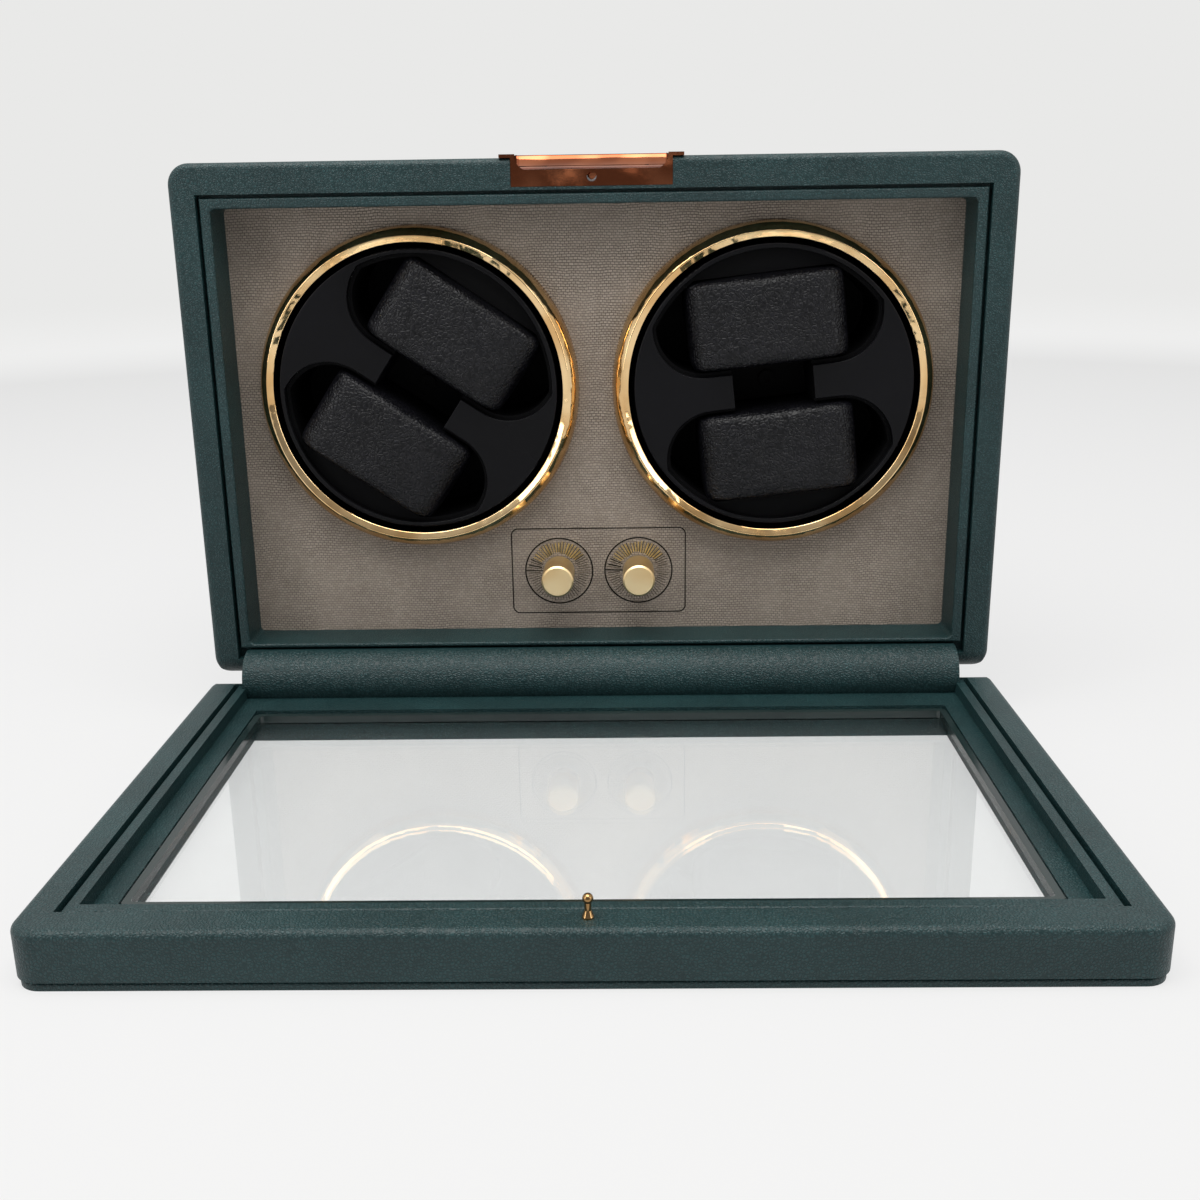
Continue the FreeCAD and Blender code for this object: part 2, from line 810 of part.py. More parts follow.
def flange_screw_places():
    r = (sleeve_outer + flange_radius) / 2
    reach = r / root(as_size(2))
    found = []
    for name, side in sides():
        for x_side, z_side in corners():
            found.append((side * rotor_x + x_side * reach, rotor_z + z_side * reach))
    return found


def motor_screw_places():
    z = rotor_z - gear_distance
    return [(side * rotor_x + ear * s.motor_ear, z) for name, side in sides() for ear in (-1, 1)]


def make_ring(name, side):
    ring = body(name)
    inner = sleeve_outer + s.ring_fit
    outer = inner + s.ring_foot
    front = panel_y - s.ring_height
    crown = sleeve_outer - s.ring_crown
    throat = crown - s.ring_chamfer
    lip = panel_y - s.sleeve_lip - s.ring_fit
    turned(ring, [
        (inner, panel_y),
        (outer, panel_y, s.ring_arc, "right"),
        (crown, front),
        (throat, front + s.ring_chamfer),
        (throat, lip),
        (inner, lip),
    ])
    keep(ring, name, side * rotor_x, rotor_z)


def make_sleeve(name, side):
    sleeve = body(name)
    front = panel_y - s.sleeve_lip
    flange_back = panel_back + s.flange_thickness
    seat = s.bearing_radius
    turned(sleeve, [
        (sleeve_inner, front),
        (sleeve_inner, sleeve_floor),
        (s.boss_lip_radius, sleeve_floor),
        (s.boss_lip_radius, bearing_front),
        (seat, bearing_front),
        (seat, boss_end),
        (s.boss_radius, boss_end),
        (s.boss_radius, sleeve_rear),
        (sleeve_outer, sleeve_rear),
        (sleeve_outer, flange_back),
        (flange_radius, flange_back),
        (flange_radius, panel_back),
        (sleeve_outer, panel_back),
        (sleeve_outer, front),
    ])
    reach = (sleeve_outer + flange_radius) / 2 / root(as_size(2))
    holes = [Disc(x_side * reach, z_side * reach, s.flange_screw_radius) for x_side, z_side in corners()]
    prism(sleeve, "front", panel_back, flange_back, holes, cut=True)
    posts = [Disc(ear * s.motor_ear, -gear_distance, s.post_radius) for ear in (-1, 1)]
    prism(sleeve, "front", sleeve_rear, motor_front, posts)
    holes = [Disc(ear * s.motor_ear, -gear_distance, s.motor_screw_radius) for ear in (-1, 1)]
    bite = s.motor_screw_length - s.motor_ear_thickness
    prism(sleeve, "front", motor_front - bite, motor_front, holes, cut=True)
    keep(sleeve, name, side * rotor_x, rotor_z)


def make_bearings():
    rings = []
    for name, side in sides():
        ring = body("shaft_bearing")
        back = bearing_front + s.bearing_width
        bore = s.shaft_radius + s.bearing_fit
        turned(ring, rectangle(bore, s.bearing_radius, bearing_front, back))
        place(ring, side * rotor_x, 0, rotor_z)
        rings.append(ring)
    group("shaft_bearings", rings)


def make_motor(name, side):
    motor = body(name)
    back = motor_front + s.motor_length
    prism(motor, "front", motor_front, back, [Disc(0, 0, s.motor_radius)])
    ears = stadium(s.motor_ear, as_size(0), s.motor_ear_radius)
    prism(motor, "front", motor_front, motor_front + s.motor_ear_thickness, [ears])
    holes = [Disc(ear * s.motor_ear, 0, s.motor_screw_radius) for ear in (-1, 1)]
    prism(motor, "front", motor_front, motor_front + s.motor_ear_thickness, holes, cut=True)
    bore = s.pinion_shaft_radius + s.pinion_shaft_fit
    depth = s.pinion_shaft_length - s.motor_gap + s.pinion_shaft_radius
    prism(motor, "front", motor_front, motor_front + depth, [Disc(0, 0, bore)], cut=True)
    half = s.motor_terminal / 2
    terminal = rectangle(-half, half, -s.motor_radius - half, -s.motor_radius + half)
    prism(motor, "front", back - s.motor_terminal, back - half, [terminal])
    keep(motor, name, side * rotor_x, rotor_z - gear_distance)


def make_housing_screws():
    screws = []
    for x, z in motor_screw_places():
        screws.append(screw(
            "motor_screw", x, motor_front + s.motor_ear_thickness, z, "-y",
            s.motor_screw_radius, s.motor_screw_length, s.motor_head_radius, s.motor_head_height))
    group("motor_screws", screws)
    screws = []
    for x, z in flange_screw_places():
        screws.append(screw(
            "sleeve_screw", x, panel_back + s.flange_thickness, z, "-y",
            s.flange_screw_radius, s.flange_screw_length, s.flange_head_radius, s.flange_head_height))
    group("sleeve_screws", screws)


# Rotors

def channel_outline():
    half = channel_width / 2
    return rectangle(-half, half, -pocket_offset, pocket_offset)


def cut_openings(owner, low, high, outside):
    # The upper and lower opening, each a stadium widened outwards, within a rim round both of them.
    half = pocket_half_run + opening_radius
    for up in (-1, 1):
        middle = up * pocket_offset
        prism(owner, "front", low, high, [stadium(pocket_half_run, middle, opening_radius)], cut=True)
        outer = corner_outline(-half, half, middle, as_size(0) + up * outside)
        prism(owner, "front", low, high, [outer], cut=True)
    prism(owner, "front", low, high, [Disc(0, 0, outside), Disc(0, 0, opening_reach)])


def make_cup(name, side, turn):
    cup = body(name)
    prism(cup, "front", cup_front, cup_back, [Disc(0, 0, cup_radius)])
    floor = cup_back - s.cup_floor
    ledge = cup_front + s.ledge_drop
    for up in (-1, 1):
        pocket = stadium(pocket_half_run, up * pocket_offset, pocket_radius)
        prism(cup, "front", ledge, floor, [pocket], cut=True)
    prism(cup, "front", ledge, floor, [Disc(0, 0, cup_radius), Disc(0, 0, pocket_reach)])
    cut_openings(cup, cup_front, ledge, cup_radius)
    prism(cup, "front", cup_front, channel_floor, [channel_outline()], cut=True)
    grip_front = cup_back - s.hub_grip
    prism(cup, "front", grip_front, cup_back, [Disc(0, 0, s.shaft_radius)], cut=True)
    prism(cup, "front", channel_floor, grip_front, [Disc(0, 0, s.hub_screw_radius)], cut=True)
    keep(cup, name, side * rotor_x, rotor_z, turn)


def make_face(name, side, turn):
    face = body(name)
    prism(face, "front", face_front, cup_front, [Disc(0, 0, face_radius)])
    cut_openings(face, face_front, cup_front, face_radius)
    prism(face, "front", face_front, cup_front, [channel_outline()], cut=True)

    rim_middle = opening_reach.value + s.face_rim.value / 2
    round_edges(face, s.face_round, lambda e: on_level(e, "y", face_front) and e.BoundBox.XMax > rim_middle)
    round_edges(face, s.opening_round, lambda e: on_level(e, "y", face_front) and e.BoundBox.XMax < rim_middle)
    keep(face, name, side * rotor_x, rotor_z, turn)


def make_shaft(name, side):
    shaft = body(name)
    front = cup_back - s.hub_grip
    bite = s.hub_screw_length - (front - channel_floor)
    turned(shaft, [
        (0, front + bite),
        (0, shaft_back),
        (s.shaft_radius, shaft_back),
        (s.shaft_radius, front),
        (s.hub_screw_radius, front),
        (s.hub_screw_radius, front + bite),
    ])
    keep(shaft, name, side * rotor_x, rotor_z)


def make_hub_screw(name, side):
    piece = body(name)
    head = channel_floor - s.hub_head_height
    socket = head + s.hub_socket_depth
    end = channel_floor + s.hub_screw_length
    turned(piece, [
        (0, socket),
        (0, end),
        (s.hub_screw_radius, end),
        (s.hub_screw_radius, channel_floor),
        (s.hub_head_radius, channel_floor),
        (s.hub_head_radius, head),
        (s.hub_socket_radius, head),
        (s.hub_socket_radius, socket),
    ])
    keep(piece, name, side * rotor_x, rotor_z)


def gear_face(teeth, half_step):
    # Involute flanks, each drawn as an arc through three of its points.
    module = s.gear_module.value
    pitch = module * teeth / 2
    base = pitch * math.cos(math.radians(s.gear_pressure_angle.value))
    tip = pitch + module
    foot = pitch - s.gear_root_depth.value * module
    start = max(base, foot)

    def involute(radius):
        angle = math.acos(min(base / radius, 1))
        return math.tan(angle) - angle

    half_tooth = math.pi / 2 / teeth - s.gear_backlash.value / 4 / pitch + involute(pitch)

    def at(radius, angle):
        return FreeCAD.Vector(radius * math.cos(angle), 0, radius * math.sin(angle))

    edges = []
    step = 2 * math.pi / teeth
    for number in range(teeth):
        middle = step * (number + (0.5 if half_step else 0))
        radii = (start, (start + tip) / 2, tip)
        rising = [at(r, middle - half_tooth + involute(r)) for r in radii]
        falling = [at(r, middle + half_tooth - involute(r)) for r in reversed(radii)]
        root_in = at(foot, middle - half_tooth + involute(start))
        root_out = at(foot, middle + half_tooth - involute(start))
        next_in = at(foot, middle + step - half_tooth + involute(start))
        if start > foot:
            edges.append(Part.makeLine(root_in, rising[0]))
        edges.append(Part.Arc(*rising).toShape())
        edges.append(Part.Arc(rising[2], at(tip, middle), falling[0]).toShape())
        edges.append(Part.Arc(*falling).toShape())
        if start > foot:
            edges.append(Part.makeLine(falling[2], root_out))
        edges.append(Part.Arc(root_out, at(foot, middle + step / 2), next_in).toShape())
    return Part.Face(Part.Wire(edges))


def rod(radius, low, high, x=0, z=0):
    return Part.makeCylinder(radius, high - low, FreeCAD.Vector(x, low, z), FreeCAD.Vector(0, 1, 0))


def make_gear(name, side):
    front, back = gear_front.value, gear_back.value
    hub_end = back + s.gear_hub_length.value
    blank = gear_face(int(s.gear_teeth.value), False)
    blank.translate(FreeCAD.Vector(0, front, 0))
    solid = blank.extrude(FreeCAD.Vector(0, back - front, 0))
    solid = solid.fuse(rod(s.gear_hub_radius.value, front, hub_end))
    solid = solid.cut(rod(s.shaft_radius.value, front, hub_end))
    circle = s.gear_hole_circle.value
    count = int(s.gear_holes.value)
    for number in range(count):
        angle = 2 * math.pi * number / count
        x, z = circle * math.sin(angle), circle * math.cos(angle)
        solid = solid.cut(rod(s.gear_hole_radius.value, front, back, x, z))
    gear = doc.addObject("Part::Feature", name)
    gear.Shape = solid
    keep(gear, name, side * rotor_x, rotor_z)


def make_pinion(name, side):
    front, back = gear_front.value, gear_back.value
    blank = gear_face(int(s.pinion_teeth.value), True)
    blank.translate(FreeCAD.Vector(0, front, 0))
    solid = blank.extrude(FreeCAD.Vector(0, back - front, 0))
    solid = solid.fuse(rod(s.pinion_shaft_radius.value, front, back + s.pinion_shaft_length.value))
    pinion = doc.addObject("Part::Feature", name)
    pinion.Shape = solid
    keep(pinion, name, side * rotor_x, rotor_z - gear_distance)


def make_pillow(name, side, turn, up):
    # Crowned at the front, full near it, drawn in along the middle and rounded at the back.
    pillow = body(name)
    front = panel_y - s.pillow_proud - s.face_inset
    back = cup_back - s.cup_floor - s.pillow_clearance
    stations = [
        (front, s.pillow_face_inset),
        (front + s.pillow_face_step, s.pillow_crown),
        (front + s.pillow_crown, s.pillow_shoulder),
        (front + s.pillow_belly, as_size(0)),
        ((front + back) / 2, s.pillow_draw),
        (back - s.pillow_belly, s.pillow_back_draw),
        (back - s.pillow_face_step, s.pillow_back_shoulder),
        (back, s.pillow_back_inset),
    ]
    drawn = []
    for level, inset in stations:
        x = pillow_width / 2 - inset
        z = pillow_height / 2 - inset
        middle = up * pocket_offset
        drawn.append(sketch(pillow, "front", level, [rounded(-x, x, middle - z, middle + z, s.pillow_corner)]))
    form = pillow.newObject("PartDesign::AdditiveLoft", "form")
    form.Profile = drawn[0]
    form.Sections = drawn[1:]
    keep(pillow, name, side * rotor_x, rotor_z, turn)


def make_rotor(side_name, side, turn):
    make_cup(f"rotor_cup_{side_name}", side, turn)
    make_face(f"rotor_face_{side_name}", side, turn)
    make_shaft(f"rotor_shaft_{side_name}", side)
    make_hub_screw(f"hub_screw_{side_name}", side)
    make_gear(f"drive_gear_{side_name}", side)
    make_pinion(f"pinion_{side_name}", side)
    make_pillow(f"pillow_{side_name}_upper", side, turn, 1)
    make_pillow(f"pillow_{side_name}_lower", side, turn, -1)


# Controls

def make_control_plate():
    plate = body("control_plate")
    x = s.plate_width / 2
    up = s.plate_height / 2
    prism(plate, "front", panel_y, plate_back, [rounded(-x, x, plate_z - up, plate_z + up, s.plate_corner)])
    knob_x = s.knob_spacing / 2
    recess = s.dial_radius + s.dial_fit
    recesses = [Disc(side * knob_x, plate_z, recess) for name, side in sides()]
    prism(plate, "front", panel_y, panel_y + s.dial_recess, recesses, cut=True)
    bore = s.bushing_radius + s.bushing_fit
    holes = [Disc(side * knob_x, plate_z, bore) for name, side in sides()]
    prism(plate, "front", panel_y + s.dial_recess, plate_back, holes, cut=True)
    keep(plate, "control_plate")
    discs = []
    low = panel_y + s.dial_recess - s.dial_thickness
    for name, side in sides():
        disc = body("dial_disc")
        turned(disc, rectangle(bore, s.dial_radius, low, panel_y + s.dial_recess))
        place(disc, side * knob_x, 0, plate_z)
        discs.append(disc)
    group("dial_discs", discs)


def make_pot(name, side):
    pot = body(name)
    bore = s.pot_shaft_radius + s.pot_shaft_fit
    floor = pot_back - s.pot_floor
    front = panel_y - s.bushing_proud
    turned(pot, [
        (0, floor),
        (0, pot_back),
        (s.pot_radius, pot_back),
        (s.pot_radius, plate_back),
        (s.bushing_radius, plate_back),
        (s.bushing_radius, front),
        (bore, front),
        (bore, floor),
    ])
    keep(pot, name, side * s.knob_spacing / 2, plate_z)


def make_pot_nuts():
    nuts = []
    flat = s.nut_flats / 2
    point = s.nut_flats / root(as_size(3))
    outline = [(-point, 0), (-point / 2, -flat), (point / 2, -flat), (point, 0), (point / 2, flat), (-point / 2, flat)]
    back = panel_y + s.dial_recess - s.dial_thickness
    for name, side in sides():
        nut = body("pot_nut")
        prism(nut, "front", back - s.nut_height, back, [outline, Disc(0, 0, s.bushing_radius)])
        place(nut, side * s.knob_spacing / 2, 0, plate_z)
        nuts.append(nut)
    group("pot_nuts", nuts)


def make_knob(name, side):
    knob = body(name)
    cavity = knob_back - s.knob_cavity
    inner = s.knob_radius - s.knob_wall
    bore_end = knob_front + s.knob_face
    bevel = s.knob_bevel
    turned(knob, [
        (0, knob_front),
        (0, bore_end),
        (s.pot_shaft_radius, bore_end),
        (s.pot_shaft_radius, cavity),
        (inner, cavity),
        (inner, knob_back),
        (s.knob_radius, knob_back),
        (s.knob_radius, knob_front + bevel),
        (s.knob_radius - bevel, knob_front),
    ])
    keep(knob, name, side * s.knob_spacing / 2, plate_z)


def make_pot_shaft(name, side):
    shaft = body(name)
    back = pot_back - s.pot_floor - s.pot_shaft_end_gap
    turned(shaft, rectangle(as_size(0), s.pot_shaft_radius, knob_front + s.knob_face, back))
    keep(shaft, name, side * s.knob_spacing / 2, plate_z)


def standoff_places():
    return [(x * s.standoff_spread_x, plate_z + z * s.standoff_spread_z) for x, z in corners()]


def make_control_board():
    board = body("control_board")
    x = s.board_width / 2
    up = s.board_height / 2
    outline = rectangle(-x, x, plate_z - up, plate_z + up)
    holes = [Disc(x, z, s.standoff_pin_radius) for x, z in standoff_places()]
    back = pot_back + s.board_thickness
    prism(board, "front", pot_back, back, [outline] + holes)
    half = s.connector_width / 2
    rise = s.connector_height / 2
    block = rectangle(-half, half, plate_z - rise, plate_z + rise)
    prism(board, "front", back, back + s.connector_depth, [block])
    keep(board, "control_board")
    standoffs = []
    for x, z in standoff_places():
        piece = body("board_standoff")
        end = pot_back + s.standoff_pin_length
        turned(piece, [
            (0, plate_back),
            (0, end),
            (s.standoff_pin_radius, end),
            (s.standoff_pin_radius, pot_back),
            (s.standoff_radius, pot_back),
            (s.standoff_radius, plate_back),
        ])
        place(piece, x, 0, z)
        standoffs.append(piece)
    group("board_standoffs", standoffs)


def make_dc_jack():
    jack = body("dc_jack")
    cover_front = case_back - s.cover_thickness
    outside = case_back + s.jack_flange_thickness
    prism(jack, "front", outside - s.jack_length, case_back, [Disc(0, 0, s.jack_radius)])
    prism(jack, "front", case_back, outside, [Disc(0, 0, s.jack_flange_radius)])
    prism(jack, "front", cover_front - s.jack_nut_thickness, cover_front, [Disc(0, 0, s.jack_nut_radius)])
    rim = [Disc(0, 0, s.jack_bore_radius), Disc(0, 0, s.jack_pin_radius)]
    floor = outside - s.jack_bore_depth
    prism(jack, "front", floor, outside, rim, cut=True)
    pin = Disc(0, 0, s.jack_pin_radius)
    prism(jack, "front", outside - s.jack_pin_inset, outside, [pin], cut=True)
    keep(jack, "dc_jack", jack_x, case_low + s.jack_rise)


# Lock

def make_lock_housing():
    lock = body("lock_housing")
    x = s.lock_half_width
    prism(lock, "front", face_y, lock_back, [rectangle(-x, x, lock_low, case_high)])
    wide = x + s.lock_flange
    flange_top = case_high + s.lock_flange_thickness
    prism(lock, "front", face_y, lock_back, [rectangle(-wide, wide, case_high, flange_top)])
    inner = x - s.lock_wall
    tray = rectangle(-inner, inner, lock_inner_y, lock_back - s.lock_wall)
    prism(lock, "floor", tray_floor, flange_top, [tray], cut=True)
    scoop_x = s.scoop_half_width
    r = s.scoop_corner
    top = flange_top + r
    scoop = [
        (-scoop_x + r, scoop_z), (scoop_x - r, scoop_z, r, "left"),
        (scoop_x, scoop_z + r), (scoop_x, top), (-scoop_x, top), (-scoop_x, scoop_z + r, r, "left"),
    ]
    prism(lock, "front", face_y, lock_inner_y, [scoop], cut=True)
    rim = Disc(0, latch_z, s.lock_hole_radius + s.lock_hole_rim)
    prism(lock, "front", face_y - s.lock_hole_rim_height, lock_inner_y, [rim])
    hole = Disc(0, latch_z, s.lock_hole_radius)
    prism(lock, "front", face_y - s.lock_hole_rim_height, lock_inner_y, [hole], cut=True)
    slot_x = s.latch_plate_half_width + s.latch_window_fit
    slot_front = lock_inner_y + s.latch_plate_setback - s.latch_window_fit
    slot_back = lock_inner_y + s.latch_plate_setback + s.latch_plate_thickness + s.latch_window_fit
    window = rectangle(-slot_x, slot_x, slot_front, slot_back)
    prism(lock, "floor", lock_low, tray_floor, [window], cut=True)
    holes = [Disc(x, z, s.lock_screw_radius) for x, z in lock_screw_places()]
    prism(lock, "front", lock_back - s.lock_wall, lock_back, holes, cut=True)
    keep(lock, "lock_housing")
    screws = []
    for x, z in lock_screw_places():
        screws.append(screw(
            "lock_screw", x, lock_back - s.lock_wall, z, "+y",
            s.lock_screw_radius, s.lock_screw_length, s.lock_head_radius, s.lock_head_height))
    group("lock_screws", screws)


def make_push_bar():
    bar = body("push_bar")
    x = s.scoop_half_width - s.bar_side_fit
    nose_back = bar_front + s.bar_nose
    rear_low = tray_floor + s.bar_rear_rise
    profile = [
        (bar_front, bar_low), (nose_back, bar_low), (nose_back, rear_low),
        (bar_back, rear_low), (bar_back, bar_high), (bar_front, bar_high),
    ]
    prism(bar, "side", -x, x, [profile])
    lip_z = bar_low + s.bar_lip_height
    crest_y = bar_back - s.bar_crest
    rise = bar_high - lip_z
    run = crest_y - bar_front
    dish_x = x - s.bar_end_wall
    r = (run * run + rise * rise) / (2 * rise)
    high = bar_high + s.bar_top
    dish = [(bar_front, lip_z, r, "left"), (crest_y, bar_high), (crest_y, high), (bar_front, high)]
    prism(bar, "side", -dish_x, dish_x, [dish], cut=True)
    relief = s.relief_half_width
    nose = rectangle(-relief, relief, bar_front, bar_front + s.relief_depth)
    prism(bar, "floor", bar_low, bar_low + s.relief_height, [nose], cut=True)
    keep(bar, "push_bar")


def make_latch_plate():
    plate = body("latch_plate")
    front = lock_inner_y + s.latch_plate_setback
    back = front + s.latch_plate_thickness
    half = s.latch_plate_half_width
    low = latch_z - s.latch_plate_drop
    neck, ball = s.neck_slot_radius, s.ball_slot_radius
    wide_z = latch_z + s.press_travel
    outline = rectangle(-half, half, low, bar_low)
    prism(plate, "front", front, back, [outline])
    prism(plate, "front", front, back, [Disc(0, latch_z, neck)], cut=True)
    prism(plate, "front", front, back, [Disc(0, wide_z, ball)], cut=True)
    prism(plate, "front", front, back, [rectangle(-ball, ball, wide_z, bar_low + ball)], cut=True)
    keep(plate, "latch_plate")


def make_latch_springs():
    # A helical wire between the tray floor and the underside of the push bar.
    wire, radius = s.spring_wire.value, s.spring_radius.value
    low = tray_floor.value + wire
    height = s.bar_rear_rise.value - 2 * wire
    coils = []
    for name, side in sides():
        path = Part.Wire(Part.makeHelix(height / s.spring_turns.value, height, radius))
        start = Part.Circle(FreeCAD.Vector(radius, 0, 0), FreeCAD.Vector(0, 1, 0), wire).toShape()
        coil = path.makePipeShell([Part.Wire(start)], True, True)
        coil.translate(FreeCAD.Vector(side * s.spring_x.value, s.spring_y.value, low))
        piece = doc.addObject("Part::Feature", "latch_spring")
        piece.Shape = coil
        coils.append(piece)
    group("latch_springs", coils)


# Hinge

def strap_places():
    reach = half_width - s.strap_inset
    return [-reach, as_size(0), reach]


def strap_screw_places():
    y = plinth_front + s.plinth_wall / 2
    return [(x + way * s.strap_screw_spread, y) for x in strap_places() for way in (-1, 1)]


def barrel_screw_places():
    y = lid_rear - s.barrel_screw_inset
    far = half_width - s.barrel_screw_inset_x
    near = s.barrel_screw_near_x
    return [(x, y) for x in (-far, -near, near, far)]


def make_hinge_straps():
    straps = []
    low = axis_z - s.eye_radius
    high = low + s.strap_thickness
    back = plinth_front + s.plinth_wall
    half = s.strap_width / 2
    for x in strap_places():
        strap = body("hinge_strap")
        prism(strap, "side", x - half, x + half, [Disc(0, axis_z, s.eye_radius)])
        prism(strap, "floor", low, high, [rectangle(x - half, x + half, as_size(0), back)])
        bore = Disc(0, axis_z, s.rod_radius + s.rod_fit)
        prism(strap, "side", x - half, x + half, [bore], cut=True)
        y = plinth_front + s.plinth_wall / 2
        spots = [x + way * s.strap_screw_spread for way in (-1, 1)]
        prism(strap, "floor", low, high, [Disc(spot, y, s.strap_screw_radius) for spot in spots], cut=True)
        for spot in spots:
            countersink(strap, spot, y, high, s.strap_screw_radius, s.strap_head_radius, s.strap_head_height)
        straps.append(strap)
    group("hinge_straps", straps)
    screws = []
    for x, y in strap_screw_places():
        screws.append(screw(
            "strap_screw", x, y, high, "-z",
            s.strap_screw_radius, s.strap_screw_length, s.strap_head_radius, s.strap_head_height, True))
    group("strap_screws", screws)


def countersink(owner, x, y, z, small, large, depth, down=True):
    # A cone cut into the face at height z; its wide end is at the face.
    sense = -1 if down else 1
    plane = [item for item in owner.Origin.OriginFeatures if item.Role == "XZ_Plane"][0]
    drawn = owner.newObject("Sketcher::SketchObject", "cone")
    drawn.AttachmentSupport = [(plane, "")]
    drawn.MapMode = "FlatFace"
    bind(drawn, "AttachmentOffset.Base.z", -as_size(y))
    loop(drawn, [(x, z), (x + large, z), (x + small, z + sense * depth), (x, z + sense * depth)])
    axis = drawn.addGeometry(Part.LineSegment(
        FreeCAD.Vector(as_size(x).value, z.value - 1, 0), FreeCAD.Vector(as_size(x).value, z.value, 0)), True)
    fix_point(drawn, axis, 1, x, z - 1)
    fix_point(drawn, axis, 2, x, z)
    made = owner.newObject("PartDesign::Groove", "countersink")
    made.Profile = drawn
    made.ReferenceAxis = (drawn, ["Axis0"])
    made.Angle = 360
    cuts.append(made)


def make_hinge_barrel():
    barrel = body("hinge_barrel")
    length = barrel_half
    prism(barrel, "side", -length, length, [Disc(0, axis_z, s.barrel_radius)])
    clear = s.eye_radius + s.eye_clearance
    half = s.strap_width / 2 + s.eye_clearance
    near = s.eye_radius - s.strap_thickness - s.eye_clearance
    reach = s.barrel_radius + s.barrel_clearance
    for x in strap_places():
        prism(barrel, "side", x - half, x + half, [Disc(0, axis_z, clear)], cut=True)
        sector = rectangle(near, reach, axis_z - clear, axis_z + reach)
        prism(barrel, "side", x - half, x + half, [sector], cut=True)
    rod_end = length - s.rod_end_inset
    prism(barrel, "side", -rod_end, rod_end, [Disc(0, axis_z, s.rod_radius)], cut=True)
    tip = s.trim_thickness + s.barrel_screw_length
    holes = [Disc(x, y, s.barrel_screw_radius) for x, y in barrel_screw_places()]
    prism(barrel, "floor", s.trim_thickness, tip, holes, cut=True)
    keep(barrel, "hinge_barrel")
    screws = []
    for x, y in barrel_screw_places():
        screws.append(screw(
            "barrel_screw", x, y, s.trim_thickness, "+z",
            s.barrel_screw_radius, s.barrel_screw_length, s.barrel_head_radius, s.barrel_head_height, True))
    group("barrel_screws", screws)
    pin = body("hinge_rod")
    prism(pin, "side", -rod_end, rod_end, [Disc(0, axis_z, s.rod_radius)])
    keep(pin, "hinge_rod")


# Lid

lid_liner_front = lid_front + s.top_wall
lid_liner_rear = lid_rear - s.liner_end
ledge_x = cavity_x - s.liner_wall - s.ledge_width
ledge_front = lid_liner_front + s.liner_wall + s.ledge_width
ledge_back = lid_rear - s.ledge_rear
glass_x = ledge_x + s.glass_bearing
glass_front = ledge_front - s.glass_bearing
window_x = ledge_x + s.window_setback
window_front = ledge_front - s.window_setback
window_back = lid_rear - s.window_rear
glass_back = window_back + s.glass_rear_bearing


def make_lid_frame():
    frame = body("lid_frame")
    rim_z = s.lid_thickness
    outline = rounded(-half_width, half_width, lid_front, lid_rear, s.corner_radius)
    prism(frame, "floor", lid_base, rim_z, [outline])
    round_edges(frame, s.edge_radius, lambda e: on_level(e, "z", rim_z))
    inset = s.neck_inset
    neck_x = half_width - inset
    neck = rounded(-neck_x, neck_x, lid_front + inset, lid_rear - inset, s.corner_radius - inset)
    prism(frame, "floor", s.trim_thickness, lid_base, [neck])
    window = rectangle(-window_x, window_x, window_front, window_back)
    prism(frame, "floor", s.trim_thickness, rim_z, [window], cut=True)
    rebate_x = glass_x + s.glass_fit
    rebate = rectangle(-rebate_x, rebate_x, glass_front - s.glass_fit, glass_back + s.glass_fit)
    prism(frame, "floor", s.glass_low, rim_z, [rebate], cut=True)
    bed = rectangle(-cavity_x, cavity_x, lid_liner_front, lid_liner_rear)
    prism(frame, "floor", glass_high, rim_z, [bed], cut=True)
    seam = rectangle(-seam_x, seam_x, lid_liner_front - s.seam_width, lid_liner_rear)
    prism(frame, "floor", rim_z - s.seam_depth, rim_z, [seam], cut=True)
    prism(frame, "side", -recess_end, recess_end, [Disc(0, axis_z, s.barrel_radius)], cut=True)
    prism(frame, "side", -half_width, half_width, [edge_relief(lid_rear, rim_z, -1, -1)], cut=True)
    shank = Disc(0, stud_y, s.stud_shank_radius)
    prism(frame, "floor", rim_z - s.stud_shank_length, rim_z, [shank], cut=True)
    holes = [Disc(x, y, s.barrel_screw_radius) for x, y in barrel_screw_places()]
    prism(frame, "floor", s.trim_thickness, axis_z - s.barrel_radius / 2, holes, cut=True)
    for x, y in barrel_screw_places():
        countersink(
            frame, x, y, s.trim_thickness,
            s.barrel_screw_radius, s.barrel_head_radius, s.barrel_head_height, down=False)
    keep(frame, "lid_frame")


def make_lid_trim():
    trim = body("lid_trim")
    inset = s.trim_inset
    x = half_width - inset
    outline = rounded(-x, x, lid_front + inset, lid_rear - inset, s.corner_radius - inset)
    prism(trim, "floor", as_size(0), s.trim_thickness, [outline])
    round_edges(trim, s.trim_round, lambda e: on_level(e, "z", s.trim_thickness))
    window = rectangle(-window_x, window_x, window_front, window_back)
    prism(trim, "floor", as_size(0), s.trim_thickness, [window], cut=True)
    keep(trim, "lid_trim")


